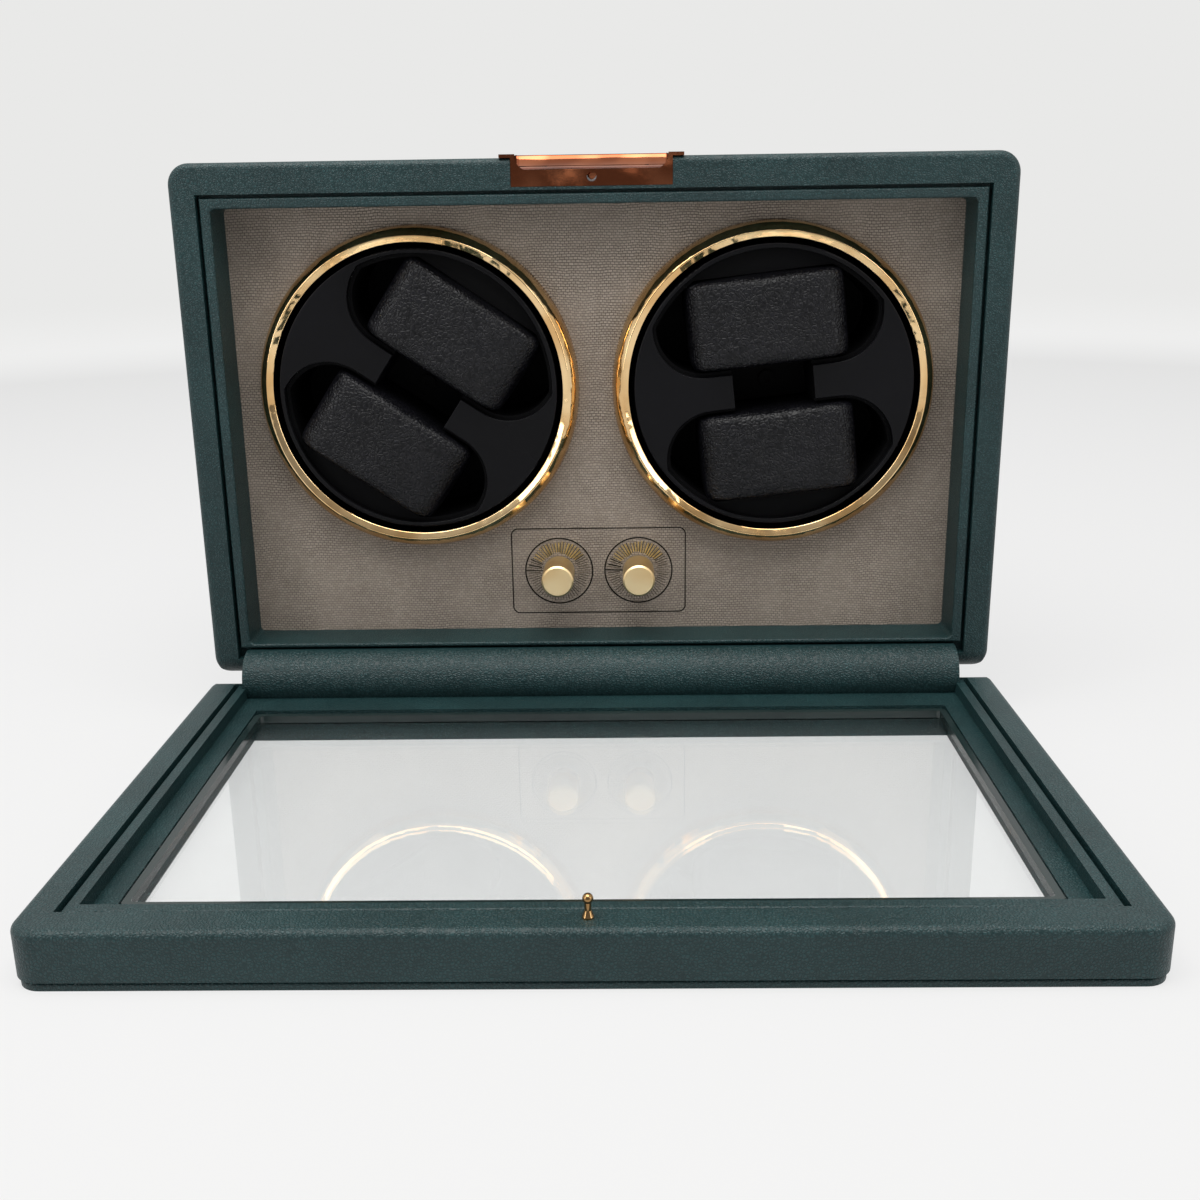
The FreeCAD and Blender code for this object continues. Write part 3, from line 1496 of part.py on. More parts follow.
def make_lid_liner():
    liner = body("lid_liner")
    top = s.lid_thickness - s.lip_drop
    outer = rectangle(-cavity_x, cavity_x, lid_liner_front, lid_liner_rear)
    prism(liner, "floor", glass_high, top, [outer])
    round_edges(liner, s.liner_round, lambda e: on_level(e, "z", top))
    inner_x = cavity_x - s.liner_wall
    inner_front = lid_liner_front + s.liner_wall
    inner = rectangle(-inner_x, inner_x, inner_front, lid_liner_rear)
    prism(liner, "floor", ledge_z, top, [inner], cut=True)
    opening = rectangle(-ledge_x, ledge_x, ledge_front, ledge_back)
    prism(liner, "floor", glass_high, ledge_z, [opening], cut=True)
    prism(liner, "side", -recess_end, recess_end, [Disc(0, axis_z, s.barrel_radius)], cut=True)
    keep(liner, "lid_liner")


def make_glass():
    glass = body("lid_glass")
    outline = rectangle(-glass_x, glass_x, glass_front, glass_back)
    prism(glass, "floor", s.glass_low, glass_high, [outline])
    keep(glass, "lid_glass")
    bezel = body("glass_bezel")
    x = ledge_x - s.bezel_gap
    front = ledge_front + s.bezel_gap
    back = lid_rear - s.bezel_rear
    width = s.bezel_width
    outer = rounded(-x, x, front, back, s.bezel_corner)
    hole_x = x - width
    inner = rounded(-hole_x, hole_x, front + width, back - width, s.bezel_corner - width / 2)
    prism(bezel, "floor", glass_high, glass_high + s.bezel_height, [outer, inner])
    keep(bezel, "glass_bezel")


def make_ball_stud():
    stud = body("stud_turning")
    ball, neck = s.ball_radius, s.stud_neck_radius
    waist = s.ball_height - root(ball * ball - neck * neck)
    turned(stud, [
        (0, -s.stud_shank_length),
        (s.stud_shank_radius, -s.stud_shank_length),
        (s.stud_shank_radius, 0),
        (s.stud_base_radius, 0),
        (s.stud_base_radius, s.stud_base_height),
        (neck, s.stud_cone_height),
        (neck, waist, ball, "left"),
        (0, s.ball_height + ball),
    ])
    place(stud, 0, stud_y, s.lid_thickness, (1, 0, 0), 90)
    group("ball_stud", [stud])


make_case_shell()
make_case_liner()
make_front_panel()
make_back_cover()
make_plinth()
for side_name, side in sides():
    make_ring(f"ring_{side_name}", side)
    make_sleeve(f"sleeve_{side_name}", side)
    make_motor(f"motor_{side_name}", side)
    make_rotor(side_name, side, s.left_turn if side < 0 else s.right_turn)
    make_pot(f"pot_{side_name}", side)
    make_knob(f"knob_{side_name}", side)
    make_pot_shaft(f"pot_shaft_{side_name}", side)
make_bearings()
make_housing_screws()
make_control_plate()
make_pot_nuts()
make_control_board()
make_dc_jack()
make_lock_housing()
make_push_bar()
make_latch_plate()
make_latch_springs()
make_hinge_straps()
make_hinge_barrel()
make_lid_frame()
make_lid_trim()
make_lid_liner()
make_glass()
make_ball_stud()

doc.recompute()

for item in doc.Objects:
    if "Invalid" in item.State or "Error" in item.State:
        raise SystemExit(f"{item.Label} of {item.TypeId} failed: {item.State}")
for cut in cuts:
    if cut.Shape.Volume > cut.BaseFeature.Shape.Volume - 1e-3:
        raise SystemExit(f"{cut.Name} cuts nothing")
for node in nodes:
    if node.Shape.isNull() or not node.Shape.isValid():
        raise SystemExit(f"{node.Label} has no valid shape")

os.makedirs("parts", exist_ok=True)
for node in nodes:
    node.Shape.exportStep(f"parts/{node.Label}.step")
print(len(nodes), "sub-parts written")
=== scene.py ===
import bpy
import bmesh
import json
import math
from mathutils import Matrix, Vector


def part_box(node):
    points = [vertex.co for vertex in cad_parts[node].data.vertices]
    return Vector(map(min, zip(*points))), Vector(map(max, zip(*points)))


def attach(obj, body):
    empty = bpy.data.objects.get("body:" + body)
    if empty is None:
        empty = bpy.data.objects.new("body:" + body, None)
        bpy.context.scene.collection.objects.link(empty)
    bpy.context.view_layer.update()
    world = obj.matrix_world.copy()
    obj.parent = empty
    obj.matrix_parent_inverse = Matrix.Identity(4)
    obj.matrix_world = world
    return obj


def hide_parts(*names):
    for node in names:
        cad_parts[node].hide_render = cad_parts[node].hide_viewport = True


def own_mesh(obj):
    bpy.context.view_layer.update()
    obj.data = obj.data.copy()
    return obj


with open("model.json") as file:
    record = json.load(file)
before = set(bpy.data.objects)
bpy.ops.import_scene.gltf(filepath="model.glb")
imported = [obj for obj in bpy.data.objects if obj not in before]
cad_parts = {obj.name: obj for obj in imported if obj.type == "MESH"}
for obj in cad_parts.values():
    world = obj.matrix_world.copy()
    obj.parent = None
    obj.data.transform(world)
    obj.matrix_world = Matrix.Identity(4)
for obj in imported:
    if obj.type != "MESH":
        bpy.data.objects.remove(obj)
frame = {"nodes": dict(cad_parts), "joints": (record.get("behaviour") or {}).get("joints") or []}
nodes = frame["nodes"]
joints = {joint["name"]: joint for joint in frame["joints"]}
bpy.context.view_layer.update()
print("frame loaded,", len(nodes), "nodes")


# Small helpers for shader trees

mixSockets = {"factor": 0, "first": 6, "second": 7, "result": 2}  # the colour ones of a Mix node
noiseBand = {"low": 0.3, "high": 0.7}  # most of a noise lies between these


def startMaterial(name):
    material = bpy.data.materials.new(name)
    material.use_nodes = True
    material.node_tree.nodes.clear()
    return material, material.node_tree


def wire(tree, socket, value):
    if isinstance(value, bpy.types.NodeSocket):
        tree.links.new(value, socket)
    else:
        socket.default_value = value


def put(tree, kind, inputs=None, **options):
    node = tree.nodes.new("ShaderNode" + kind)
    for key, value in options.items():
        setattr(node, key, value)
    for key, value in (inputs or {}).items():
        wire(tree, node.inputs[key], value)
    return node


def calc(tree, operation, first, second=0.0):
    return put(tree, "Math", {0: first, 1: second}, operation=operation).outputs[0]


def remap(tree, value, low, high, toLow=0.0, toHigh=1.0):
    inputs = {"Value": value, "From Min": low, "From Max": high, "To Min": toLow, "To Max": toHigh}
    return put(tree, "MapRange", inputs, interpolation_type="SMOOTHSTEP").outputs["Result"]


def fromNoise(tree, value, toLow=0.0, toHigh=1.0):
    return remap(tree, value, noiseBand["low"], noiseBand["high"], toLow, toHigh)


def mixColour(tree, factor, first, second, blend="MIX"):
    node = put(tree, "Mix", data_type="RGBA", blend_type=blend)
    wire(tree, node.inputs[mixSockets["factor"]], factor)
    wire(tree, node.inputs[mixSockets["first"]], first)
    wire(tree, node.inputs[mixSockets["second"]], second)
    return node.outputs[mixSockets["result"]]


def noise(tree, vector, scale, detail=2.0, roughness=0.5):
    inputs = {"Vector": vector, "Scale": scale, "Detail": detail, "Roughness": roughness}
    return put(tree, "TexNoise", inputs)


def objectPlace(tree, stretch=(1, 1, 1)):
    coords = put(tree, "TexCoord").outputs["Object"]
    return put(tree, "Mapping", {"Vector": coords, "Scale": stretch}).outputs["Vector"]


def bendPlace(tree, place, drift, amount):
    # Pushes a pattern's place about by a noise colour
    centred = put(tree, "VectorMath", {0: drift, 1: (0.5, 0.5, 0.5)}, operation="SUBTRACT").outputs[0]
    slip = put(tree, "VectorMath", {0: centred, "Scale": amount}, operation="SCALE").outputs[0]
    return put(tree, "VectorMath", {0: place, 1: slip}, operation="ADD").outputs[0]


def finishMaterial(tree, inputs, height, depth):
    bump = put(tree, "Bump", {"Height": height, "Distance": depth, "Strength": 1.0})
    shader = put(tree, "BsdfPrincipled", {**inputs, "Normal": bump.outputs["Normal"]})
    output = put(tree, "OutputMaterial")
    tree.links.new(shader.outputs["BSDF"], output.inputs["Surface"])


def rgb(red, green, blue):
    # sRGB steps of 0 to 255 as a linear colour
    def linear(step):
        part = step / 255
        return part / 12.92 if part <= 0.04045 else ((part + 0.055) / 1.055) ** 2.4
    return (linear(red), linear(green), linear(blue), 1.0)


# Finishes

def grainLeather(name, look):
    material, tree = startMaterial(name)
    place = objectPlace(tree, look["stretch"])
    drift = noise(tree, place, look["cells"] * look["driftShare"]).outputs["Color"]
    bent = bendPlace(tree, place, drift, look["wander"])
    cells = put(tree, "TexVoronoi", {"Vector": bent, "Scale": look["cells"]}, feature="DISTANCE_TO_EDGE")
    pebble = remap(tree, cells.outputs["Distance"], 0.0, look["pebbleEdge"])
    pores = noise(tree, place, look["cells"] * look["poreShare"], *look["poreNoise"]).outputs["Fac"]
    foldPlace = objectPlace(tree, look["foldStretch"])
    folds = noise(tree, foldPlace, look["folds"], *look["foldNoise"]).outputs["Fac"]
    blotch = noise(tree, place, look["blotch"], *look["blotchNoise"]).outputs["Fac"]
    tone = mixColour(tree, fromNoise(tree, blotch), look["dark"], look["light"])
    valley = mixColour(tree, 1.0, tone, look["valley"], "MULTIPLY")
    colour = mixColour(tree, pebble, valley, tone)
    rough = fromNoise(tree, pores, look["gloss"][0], look["gloss"][1])
    height = calc(
        tree, "ADD", calc(tree, "MULTIPLY", pebble, look["pebbleHeight"]),
        calc(tree, "MULTIPLY", pores, look["poreHeight"]))
    height = calc(tree, "ADD", height, calc(tree, "MULTIPLY", folds, look["foldHeight"]))
    finishMaterial(tree, {
        "Base Color": colour, "Roughness": rough, "Specular IOR Level": look["specular"],
        "Sheen Weight": look["sheen"], "Sheen Roughness": look["sheenRough"], "Sheen Tint": look["light"],
    }, height, look["relief"])
    return material


leatherLook = {
    "stretch": (1, 1, 1), "driftShare": 0.4, "poreShare": 3.5, "poreNoise": (3.0, 0.6),
    "foldNoise": (3.0, 0.55), "blotchNoise": (4.0, 0.6), "sheenRough": 0.4, "relief": 0.001,
}
greenLook = {
    **leatherLook, "dark": rgb(28, 54, 56), "light": rgb(35, 64, 66), "valley": (0.38, 0.5, 0.5, 1.0),
    "cells": 980.0, "wander": 0.0009, "pebbleEdge": 0.32,
    "folds": 90.0, "foldStretch": (1, 1, 1), "blotch": 35.0,
    "pebbleHeight": 0.12, "poreHeight": 0.025, "foldHeight": 0.07,
    "gloss": (0.36, 0.48), "specular": 0.36, "sheen": 0.03,
}
greenLeather = grainLeather("green leather", greenLook)
coverLeather = grainLeather("cover leather", {
    **greenLook, "dark": rgb(26, 46, 47), "light": rgb(34, 56, 57), "gloss": (0.55, 0.7), "cells": 950.0})
barrelLeather = grainLeather("barrel leather", {
    **greenLook, "stretch": (0.7, 1, 1), "cells": 1000.0, "pebbleHeight": 0.14,
    "foldStretch": (0.5, 1, 1), "folds": 420.0, "foldHeight": 0.07})
pillowLeather = grainLeather("pillow leather", {
    **leatherLook, "dark": rgb(14, 14, 18), "light": rgb(20, 20, 25), "valley": (0.35, 0.35, 0.37, 1.0),
    "cells": 620.0, "wander": 0.0018, "pebbleEdge": 0.26,
    "folds": 260.0, "foldStretch": (0.8, 1, 1.4), "blotch": 60.0,
    "pebbleHeight": 0.18, "poreHeight": 0.03, "foldHeight": 0.3,
    "gloss": (0.28, 0.4), "specular": 0.26, "sheen": 0.01})


def wovenLeather(name, look):
    # Short raised tiles in wavy rows, laid like bricks over X and Z
    material, tree = startMaterial(name)
    place = objectPlace(tree)
    sway = noise(tree, place, look["swayScale"], *look["swayNoise"]).outputs["Color"]
    axes = put(tree, "SeparateXYZ", {0: bendPlace(tree, place, sway, look["sway"])}).outputs
    flat = put(tree, "CombineXYZ", {"X": axes["X"], "Y": axes["Z"]}).outputs[0]
    blotch = noise(tree, place, look["blotch"], *look["blotchNoise"]).outputs["Fac"]
    tone = mixColour(tree, fromNoise(tree, blotch), look["dark"], look["light"])
    shade = mixColour(tree, 1.0, tone, look["worn"], "MULTIPLY")
    tiles = put(tree, "TexBrick", {
        "Vector": flat, "Color1": tone, "Color2": shade, "Mortar": tone, "Scale": look["perMetre"],
        "Mortar Size": look["gap"], "Mortar Smooth": 1.0, "Bias": 0.0,
        "Brick Width": look["across"], "Row Height": look["up"]})
    patches = noise(tree, place, look["patches"], look["patchDetail"]).outputs["Fac"]
    patch = remap(tree, patches, *look["patchBand"], look["patchLeast"], 1.0)
    groove = calc(tree, "MULTIPLY", tiles.outputs["Fac"], patch)
    fibre = noise(tree, place, look["fibres"], *look["fibreNoise"]).outputs["Fac"]
    height = calc(tree, "SUBTRACT", calc(tree, "MULTIPLY", fibre, look["fibreHeight"]), groove)
    valley = mixColour(tree, 1.0, tone, look["valley"], "MULTIPLY")
    colour = mixColour(tree, groove, tiles.outputs["Color"], valley)
    rough = fromNoise(tree, fibre, look["gloss"][0], look["gloss"][1])
    finishMaterial(tree, {
        "Base Color": colour, "Roughness": rough, "Specular IOR Level": look["specular"],
    }, height, look["relief"])
    return material


taupeLeather = wovenLeather("taupe woven leather", {
    "dark": rgb(156, 145, 134), "light": rgb(168, 157, 145), "worn": (0.8, 0.79, 0.78, 1.0),
    "valley": (0.26, 0.24, 0.23, 1.0), "blotch": 18.0, "blotchNoise": (4.0, 0.6),
    "perMetre": 620.0, "across": 1.05, "up": 0.66, "gap": 0.12,
    "sway": 0.0034, "swayScale": 48.0, "swayNoise": (3.0, 0.6),
    "patches": 60.0, "patchDetail": 3.0, "patchBand": (0.35, 0.65), "patchLeast": 0.7,
    "fibres": 2600.0, "fibreNoise": (3.0, 0.65), "fibreHeight": 0.3,
    "gloss": (0.5, 0.65), "specular": 0.35, "relief": 0.0003})


def matPlastic(name, look):
    material, tree = startMaterial(name)
    place = objectPlace(tree)
    speck = noise(tree, place, look["speck"], *look["speckNoise"]).outputs["Fac"]
    cloud = noise(tree, place, look["cloud"], *look["cloudNoise"]).outputs["Fac"]
    colour = mixColour(tree, fromNoise(tree, cloud), look["dark"], look["light"])
    rough = fromNoise(tree, cloud, look["gloss"][0], look["gloss"][1])
    finishMaterial(tree, {
        "Base Color": colour, "Roughness": rough, "Specular IOR Level": look["specular"],
    }, speck, look["relief"])
    return material


plasticLook = {
    "dark": rgb(14, 14, 17), "light": rgb(19, 19, 23), "speck": 3500.0, "speckNoise": (3.0, 0.6),
    "cloud": 25.0, "cloudNoise": (3.0, 0.5), "gloss": (0.42, 0.52), "specular": 0.45, "relief": 0.00003}
rotorBlack = matPlastic("rotor black", {
    **plasticLook, "dark": rgb(11, 11, 13), "light": rgb(15, 15, 18), "gloss": (0.26, 0.34),
    "specular": 0.12})
cupBlack = matPlastic("cup black", {
    **plasticLook, "dark": rgb(6, 6, 7), "light": rgb(9, 9, 11), "gloss": (0.55, 0.65), "specular": 0.08})
sleeveBlack = matPlastic("sleeve black", {
    **plasticLook, "dark": rgb(6, 6, 7), "light": rgb(9, 9, 10), "gloss": (0.5, 0.6), "specular": 0.1})
bezelGloss = matPlastic("bezel gloss", {
    **plasticLook, "dark": rgb(24, 36, 36), "light": rgb(32, 46, 45), "gloss": (0.12, 0.2),
    "relief": 0.00001})
gearNylon = matPlastic("gear nylon", {
    **plasticLook, "dark": rgb(218, 216, 206), "light": rgb(232, 230, 222), "gloss": (0.4, 0.5)})
boardGreen = matPlastic("circuit board", {
    **plasticLook, "dark": rgb(18, 82, 48), "light": rgb(28, 98, 60), "gloss": (0.25, 0.4)})
jackBlack = matPlastic("inlet black", {
    **plasticLook, "dark": rgb(16, 16, 16), "light": rgb(24, 24, 24), "gloss": (0.2, 0.3)})
plinthBlack = matPlastic("stained plinth", {
    **plasticLook, "dark": rgb(20, 20, 20), "light": rgb(34, 33, 31), "speck": 900.0,
    "gloss": (0.6, 0.75), "relief": 0.00008})


def metal(name, look):
    material, tree = startMaterial(name)
    place = objectPlace(tree, look["stretch"])
    swirl = noise(tree, place, look["swirl"], *look["swirlNoise"]).outputs["Fac"]
    wobble = noise(tree, objectPlace(tree), look["wobble"], look["octaves"]).outputs["Fac"]
    colour = mixColour(tree, remap(tree, wobble, *look["toneBand"]), look["dark"], look["light"])
    rough = fromNoise(tree, swirl, look["gloss"][0], look["gloss"][1])
    height = calc(tree, "ADD", calc(tree, "MULTIPLY", swirl, look["scratch"]), wobble)
    inputs = {"Base Color": colour, "Metallic": 1.0, "Roughness": rough}
    finishMaterial(tree, inputs, height, look["relief"])
    return material


metalLook = {"stretch": (1, 1, 1), "swirlNoise": (3.0, 0.6), "octaves": 1.0, "toneBand": (0.35, 0.65)}
goldLook = {
    **metalLook, "dark": rgb(216, 174, 118), "light": rgb(240, 208, 158), "swirl": 700.0,
    "wobble": 60.0, "scratch": 0.01, "gloss": (0.05, 0.1), "relief": 0.0005}
giltRing = metal("gilt ring", {**goldLook, "wobble": 42.0, "octaves": 3.0, "relief": 0.0015})
roseGilt = metal("rose gilt", {
    **goldLook, "dark": rgb(142, 80, 52), "light": rgb(178, 108, 74), "wobble": 70.0, "relief": 0.0004})
giltKnob = metal("gilt knob", {
    **goldLook, "dark": rgb(244, 212, 158), "light": rgb(252, 228, 180), "scratch": 0.0,
    "gloss": (0.36, 0.4), "relief": 0.0001})
giltStud = metal("gilt stud", {
    **goldLook, "dark": rgb(150, 118, 78), "light": rgb(190, 154, 108), "relief": 0.0001})
steelLook = {
    **metalLook, "dark": rgb(150, 150, 152), "light": rgb(182, 182, 184), "stretch": (1, 1, 12),
    "swirl": 900.0, "wobble": 30.0, "scratch": 0.05, "gloss": (0.22, 0.34), "relief": 0.0001}
brightSteel = metal("bright steel", steelLook)
platedCase = metal("plated case", {
    **steelLook, "dark": rgb(140, 141, 138), "light": rgb(168, 168, 164), "gloss": (0.3, 0.42)})
turnedBrass = metal("turned brass", {
    **goldLook, "dark": rgb(180, 145, 80), "light": rgb(205, 170, 100), "gloss": (0.2, 0.3)})


def clearGlass(name, look):
    material, tree = startMaterial(name)
    film = noise(tree, objectPlace(tree), look["film"]).outputs["Fac"]
    rough = fromNoise(tree, film, look["gloss"][0], look["gloss"][1])
    finishMaterial(tree, {
        "Base Color": look["tint"], "Roughness": rough, "IOR": look["bend"], "Transmission Weight": 1.0,
    }, film, look["relief"])
    return material


lidGlass = clearGlass("lid glass", {
    "tint": (0.98, 0.995, 0.992, 1.0), "film": 12.0, "gloss": (0.0, 0.015), "bend": 1.5,
    "relief": 0.00002})

finishes = {
    greenLeather: ["case_shell", "case_liner", "lid_frame", "lid_liner", "lid_trim"],
    barrelLeather: ["hinge_barrel"],
    coverLeather: ["back_cover"],
    plinthBlack: ["plinth"],
    taupeLeather: ["front_panel", "control_plate", "dial_discs"],
    giltRing: ["ring_left", "ring_right"],
    roseGilt: ["lock_housing", "push_bar"],
    giltKnob: ["knob_left", "knob_right"],
    giltStud: ["ball_stud"],
    rotorBlack: ["rotor_face_left", "rotor_face_right"],
    cupBlack: ["rotor_cup_left", "rotor_cup_right", "hub_screw_left", "hub_screw_right"],
    sleeveBlack: ["sleeve_left", "sleeve_right"],
    pillowLeather: [
        "pillow_left_upper", "pillow_left_lower", "pillow_right_upper", "pillow_right_lower"],
    lidGlass: ["lid_glass"],
    bezelGloss: ["glass_bezel"],
    gearNylon: ["drive_gear_left", "drive_gear_right", "pinion_left", "pinion_right"],
    brightSteel: [
        "back_screws", "plinth_screws", "shaft_bearings", "motor_screws", "sleeve_screws", "pot_nuts",
        "lock_screws", "latch_springs", "latch_plate", "hinge_straps", "strap_screws", "barrel_screws",
        "hinge_rod", "rotor_shaft_left", "rotor_shaft_right", "pot_shaft_left", "pot_shaft_right"],
    platedCase: ["motor_left", "motor_right", "pot_left", "pot_right"],
    boardGreen: ["control_board"],
    turnedBrass: ["board_standoffs"],
    jackBlack: ["dc_jack"],
}
for material, names in finishes.items():
    for name in names:
        mesh = nodes[name].data
        mesh.materials.clear()
        mesh.materials.append(material)
missing = sorted(set(nodes) - {name for names in finishes.values() for name in names})
print("finishes set,", len(finishes), "materials, without one:", missing)


# Making pieces

mergeGap = 1e-7  # corners nearer than this are one


def mergeCorners(mesh, faceOutwards):
    work = bmesh.new()
    work.from_mesh(mesh)
    bmesh.ops.remove_doubles(work, verts=work.verts, dist=mergeGap)
    if faceOutwards:
        bmesh.ops.recalc_face_normals(work, faces=work.faces)
    work.to_mesh(mesh)
    work.free()


def shadeSmooth(mesh):
    for polygon in mesh.polygons:
        polygon.use_smooth = True


def showPiece(name, mesh):
    piece = bpy.data.objects.new(name, mesh)
    bpy.context.scene.collection.objects.link(piece)
    return piece


def meshPiece(name, corners, faces, materials):
    mesh = bpy.data.meshes.new(name)
    mesh.from_pydata([tuple(corner) for corner in corners], [], faces)
    mergeCorners(mesh, faceOutwards=True)
    shadeSmooth(mesh)
    for material in materials:
        mesh.materials.append(material)
    return showPiece(name, mesh)


def bake(piece):
    # What the modifiers make becomes a plain mesh
    bpy.context.view_layer.update()
    graph = bpy.context.evaluated_depsgraph_get()
    mesh = bpy.data.meshes.new_from_object(piece.evaluated_get(graph), depsgraph=graph)
    old = piece.data
    piece.modifiers.clear()
    piece.data = mesh
    bpy.data.meshes.remove(old)


def placeMesh(piece, matrix):
    piece.data.transform(matrix)
    piece.data.update()


# Latch springs, copied into a piece of their own fixed to the case (on the lock they shorten when the bar is
# pressed)


def pressedSprings():
    springs = showPiece("pressedSprings", nodes["latch_springs"].data.copy())
    mergeCorners(springs.data, faceOutwards=False)
    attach(springs, "case")
    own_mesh(springs)
    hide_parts("latch_springs")


pressedSprings()
print("latch springs made")


# Strap pillows, sewn round foam

pillowSize = {
    "halfWidth": 0.0325, "halfHeight": 0.0179, "front": -0.0512, "back": -0.0068, "sideRound": 0.0095,
    "edgeRound": 0.0024, "backRound": 0.004, "leastRound": 0.0005, "offset": 0.0272, "crown": 0.0012,
    "crownSteps": 12, "roundSteps": 10, "edgeSteps": 6}
pillowFill = {
    "cell": 0.0021, "heldBack": 0.006, "quality": 6, "mass": 0.2, "stiffness": 18, "bending": 1.2,
    "pressure": 4.0, "frames": 18, "cap": 0.0011, "softness": 0.5, "softRounds": 3, "divide": 1,
    "tightness": 0.85}
rotorTurn = {"left": 34.0, "right": -6.2}


def rotorPlace(side):
    # A rotor's own u, depth and v as the frame's X, Y and Z
    centre = Vector(joints[side + "_rotor_spin"]["pos_m"])
    centre.y = 0
    return Matrix.Translation(centre) @ Matrix.Rotation(math.radians(rotorTurn[side]), 4, "Y")


def pillowOutline(inset):
    # Seen along v: u across and depth, wide rounds at the front and small ones behind
    size = pillowSize
    right, front, back = size["halfWidth"] - inset, size["front"] + inset, size["back"] - inset
    wide = max(size["sideRound"] - inset, size["leastRound"])
    small = max(size["backRound"] - inset, size["leastRound"])
    crownSteps, steps = size["crownSteps"], size["roundSteps"]
    line = []
    for index in range(-crownSteps, crownSteps + 1):
        share = index / crownSteps
        line.append((share * (right - wide), front - size["crown"] * (1 - share * share)))
    quarter = [math.pi / 2 * index / steps for index in range(steps + 1)]
    line += [
        (right - wide + wide * math.sin(angle), front + wide - wide * math.cos(angle))
        for angle in quarter[1:]]
    line += [
        (right - small + small * math.cos(angle), back - small + small * math.sin(angle))
        for angle in quarter]
    line += [
        (-right + small - small * math.sin(angle), back - small + small * math.cos(angle))
        for angle in quarter]
    line += [
        (-right + wide - wide * math.cos(angle), front + wide - wide * math.sin(angle))
        for angle in quarter[:-1]]
    return line


def pillowForm(name):
    # Outlines stacked along v, drawn in at both ends
    size = pillowSize
    edge = size["edgeRound"]
    upperHalf = []
    for index in range(size["edgeSteps"] + 1):
        angle = math.pi / 2 * index / size["edgeSteps"]
        upperHalf.append((size["halfHeight"] - edge + edge * math.cos(angle), edge - edge * math.sin(angle)))
    lowerHalf = [(-height, inset) for height, inset in upperHalf]
    levels = lowerHalf + upperHalf[::-1]
    corners, faces = [], []
    for height, inset in levels:
        corners += [(u, depth, height) for u, depth in pillowOutline(inset)]
    count = len(corners) // len(levels)
    for row in range(len(levels) - 1):
        here, above = row * count, (row + 1) * count
        for index in range(count):
            after = (index + 1) % count
            faces.append((here + index, here + after, above + after, above + index))
    faces.append(tuple(range(count)))
    faces.append(tuple(range((len(levels) - 1) * count, len(levels) * count)))
    return meshPiece(name, corners, faces, [pillowLeather])


def puff(piece):
    # Air pressure fills the cover a little, then the cap keeps it in its pocket
    fill = pillowFill
    remesh = piece.modifiers.new("cells", "REMESH")
    remesh.mode = "VOXEL"
    remesh.voxel_size = fill["cell"]
    remesh.use_smooth_shade = True
    bake(piece)
    start = [vertex.co.copy() for vertex in piece.data.vertices]
    pins = piece.vertex_groups.new(name="held")
    backRow = [index for index, co in enumerate(start) if co.y > pillowSize["back"] - fill["heldBack"]]
    pins.add(backRow, 1.0, "REPLACE")
    cloth = piece.modifiers.new("air", "CLOTH")
    cloth.settings.quality = fill["quality"]
    cloth.settings.mass = fill["mass"]
    cloth.settings.tension_stiffness = fill["stiffness"]
    cloth.settings.compression_stiffness = fill["stiffness"]
    cloth.settings.bending_stiffness = fill["bending"]
    cloth.settings.use_pressure = True
    cloth.settings.uniform_pressure_force = fill["pressure"]
    cloth.settings.vertex_group_mass = "held"
    cloth.settings.effector_weights.gravity = 0
    cloth.collision_settings.use_collision = False
    cloth.point_cache.frame_start = 1
    cloth.point_cache.frame_end = fill["frames"]
    scene = bpy.context.scene
    for step in range(1, fill["frames"] + 1):
        scene.frame_set(step)
    bake(piece)
    scene.frame_set(1)
    for vertex, origin in zip(piece.data.vertices, start):
        move = vertex.co - origin
        if move.length > fill["cap"]:
            vertex.co = origin + move.normalized() * fill["cap"]


def soften(piece):
    smooth = piece.modifiers.new("soft", "SMOOTH")
    smooth.factor = pillowFill["softness"]
    smooth.iterations = pillowFill["softRounds"]
    divide = piece.modifiers.new("fine", "SUBSURF")
    divide.levels = divide.render_levels = pillowFill["divide"]
    bake(piece)
    shadeSmooth(piece.data)


for side in ("left", "right"):
    for level, way in (("upper", 1), ("lower", -1)):
        pillow = pillowForm(f"strapPillow_{side}_{level}")
        puff(pillow)
        soften(pillow)
        placeMesh(pillow, rotorPlace(side) @ Matrix.Translation((0, 0, way * pillowSize["offset"])))
        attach(pillow, f"{side}_{level}_pillow")
        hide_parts(f"pillow_{side}_{level}")
print("strap pillows made")


# Gilt rings, turned: an inner band, a ridge and a full outer slope down to the panel

ringShape = {
    "segments": 192, "inner": -0.0056, "innerDrop": 0.0013, "innerRound": 0.0003, "innerSoft": 0.3,
    "throat": 0.0019, "ridge": -0.0032, "ridgeRound": 0.0004, "crestSoft": 0.3, "crestIn": 0.25,
    "crestOut": 0.4, "foot": 0.0009, "footRise": 0.0009, "slopeSteps": 14, "bulge": 0.0011,
    "bulgeForward": 0.4, "hem": 0.0002, "hemShare": 0.5, "seat": -0.0026}


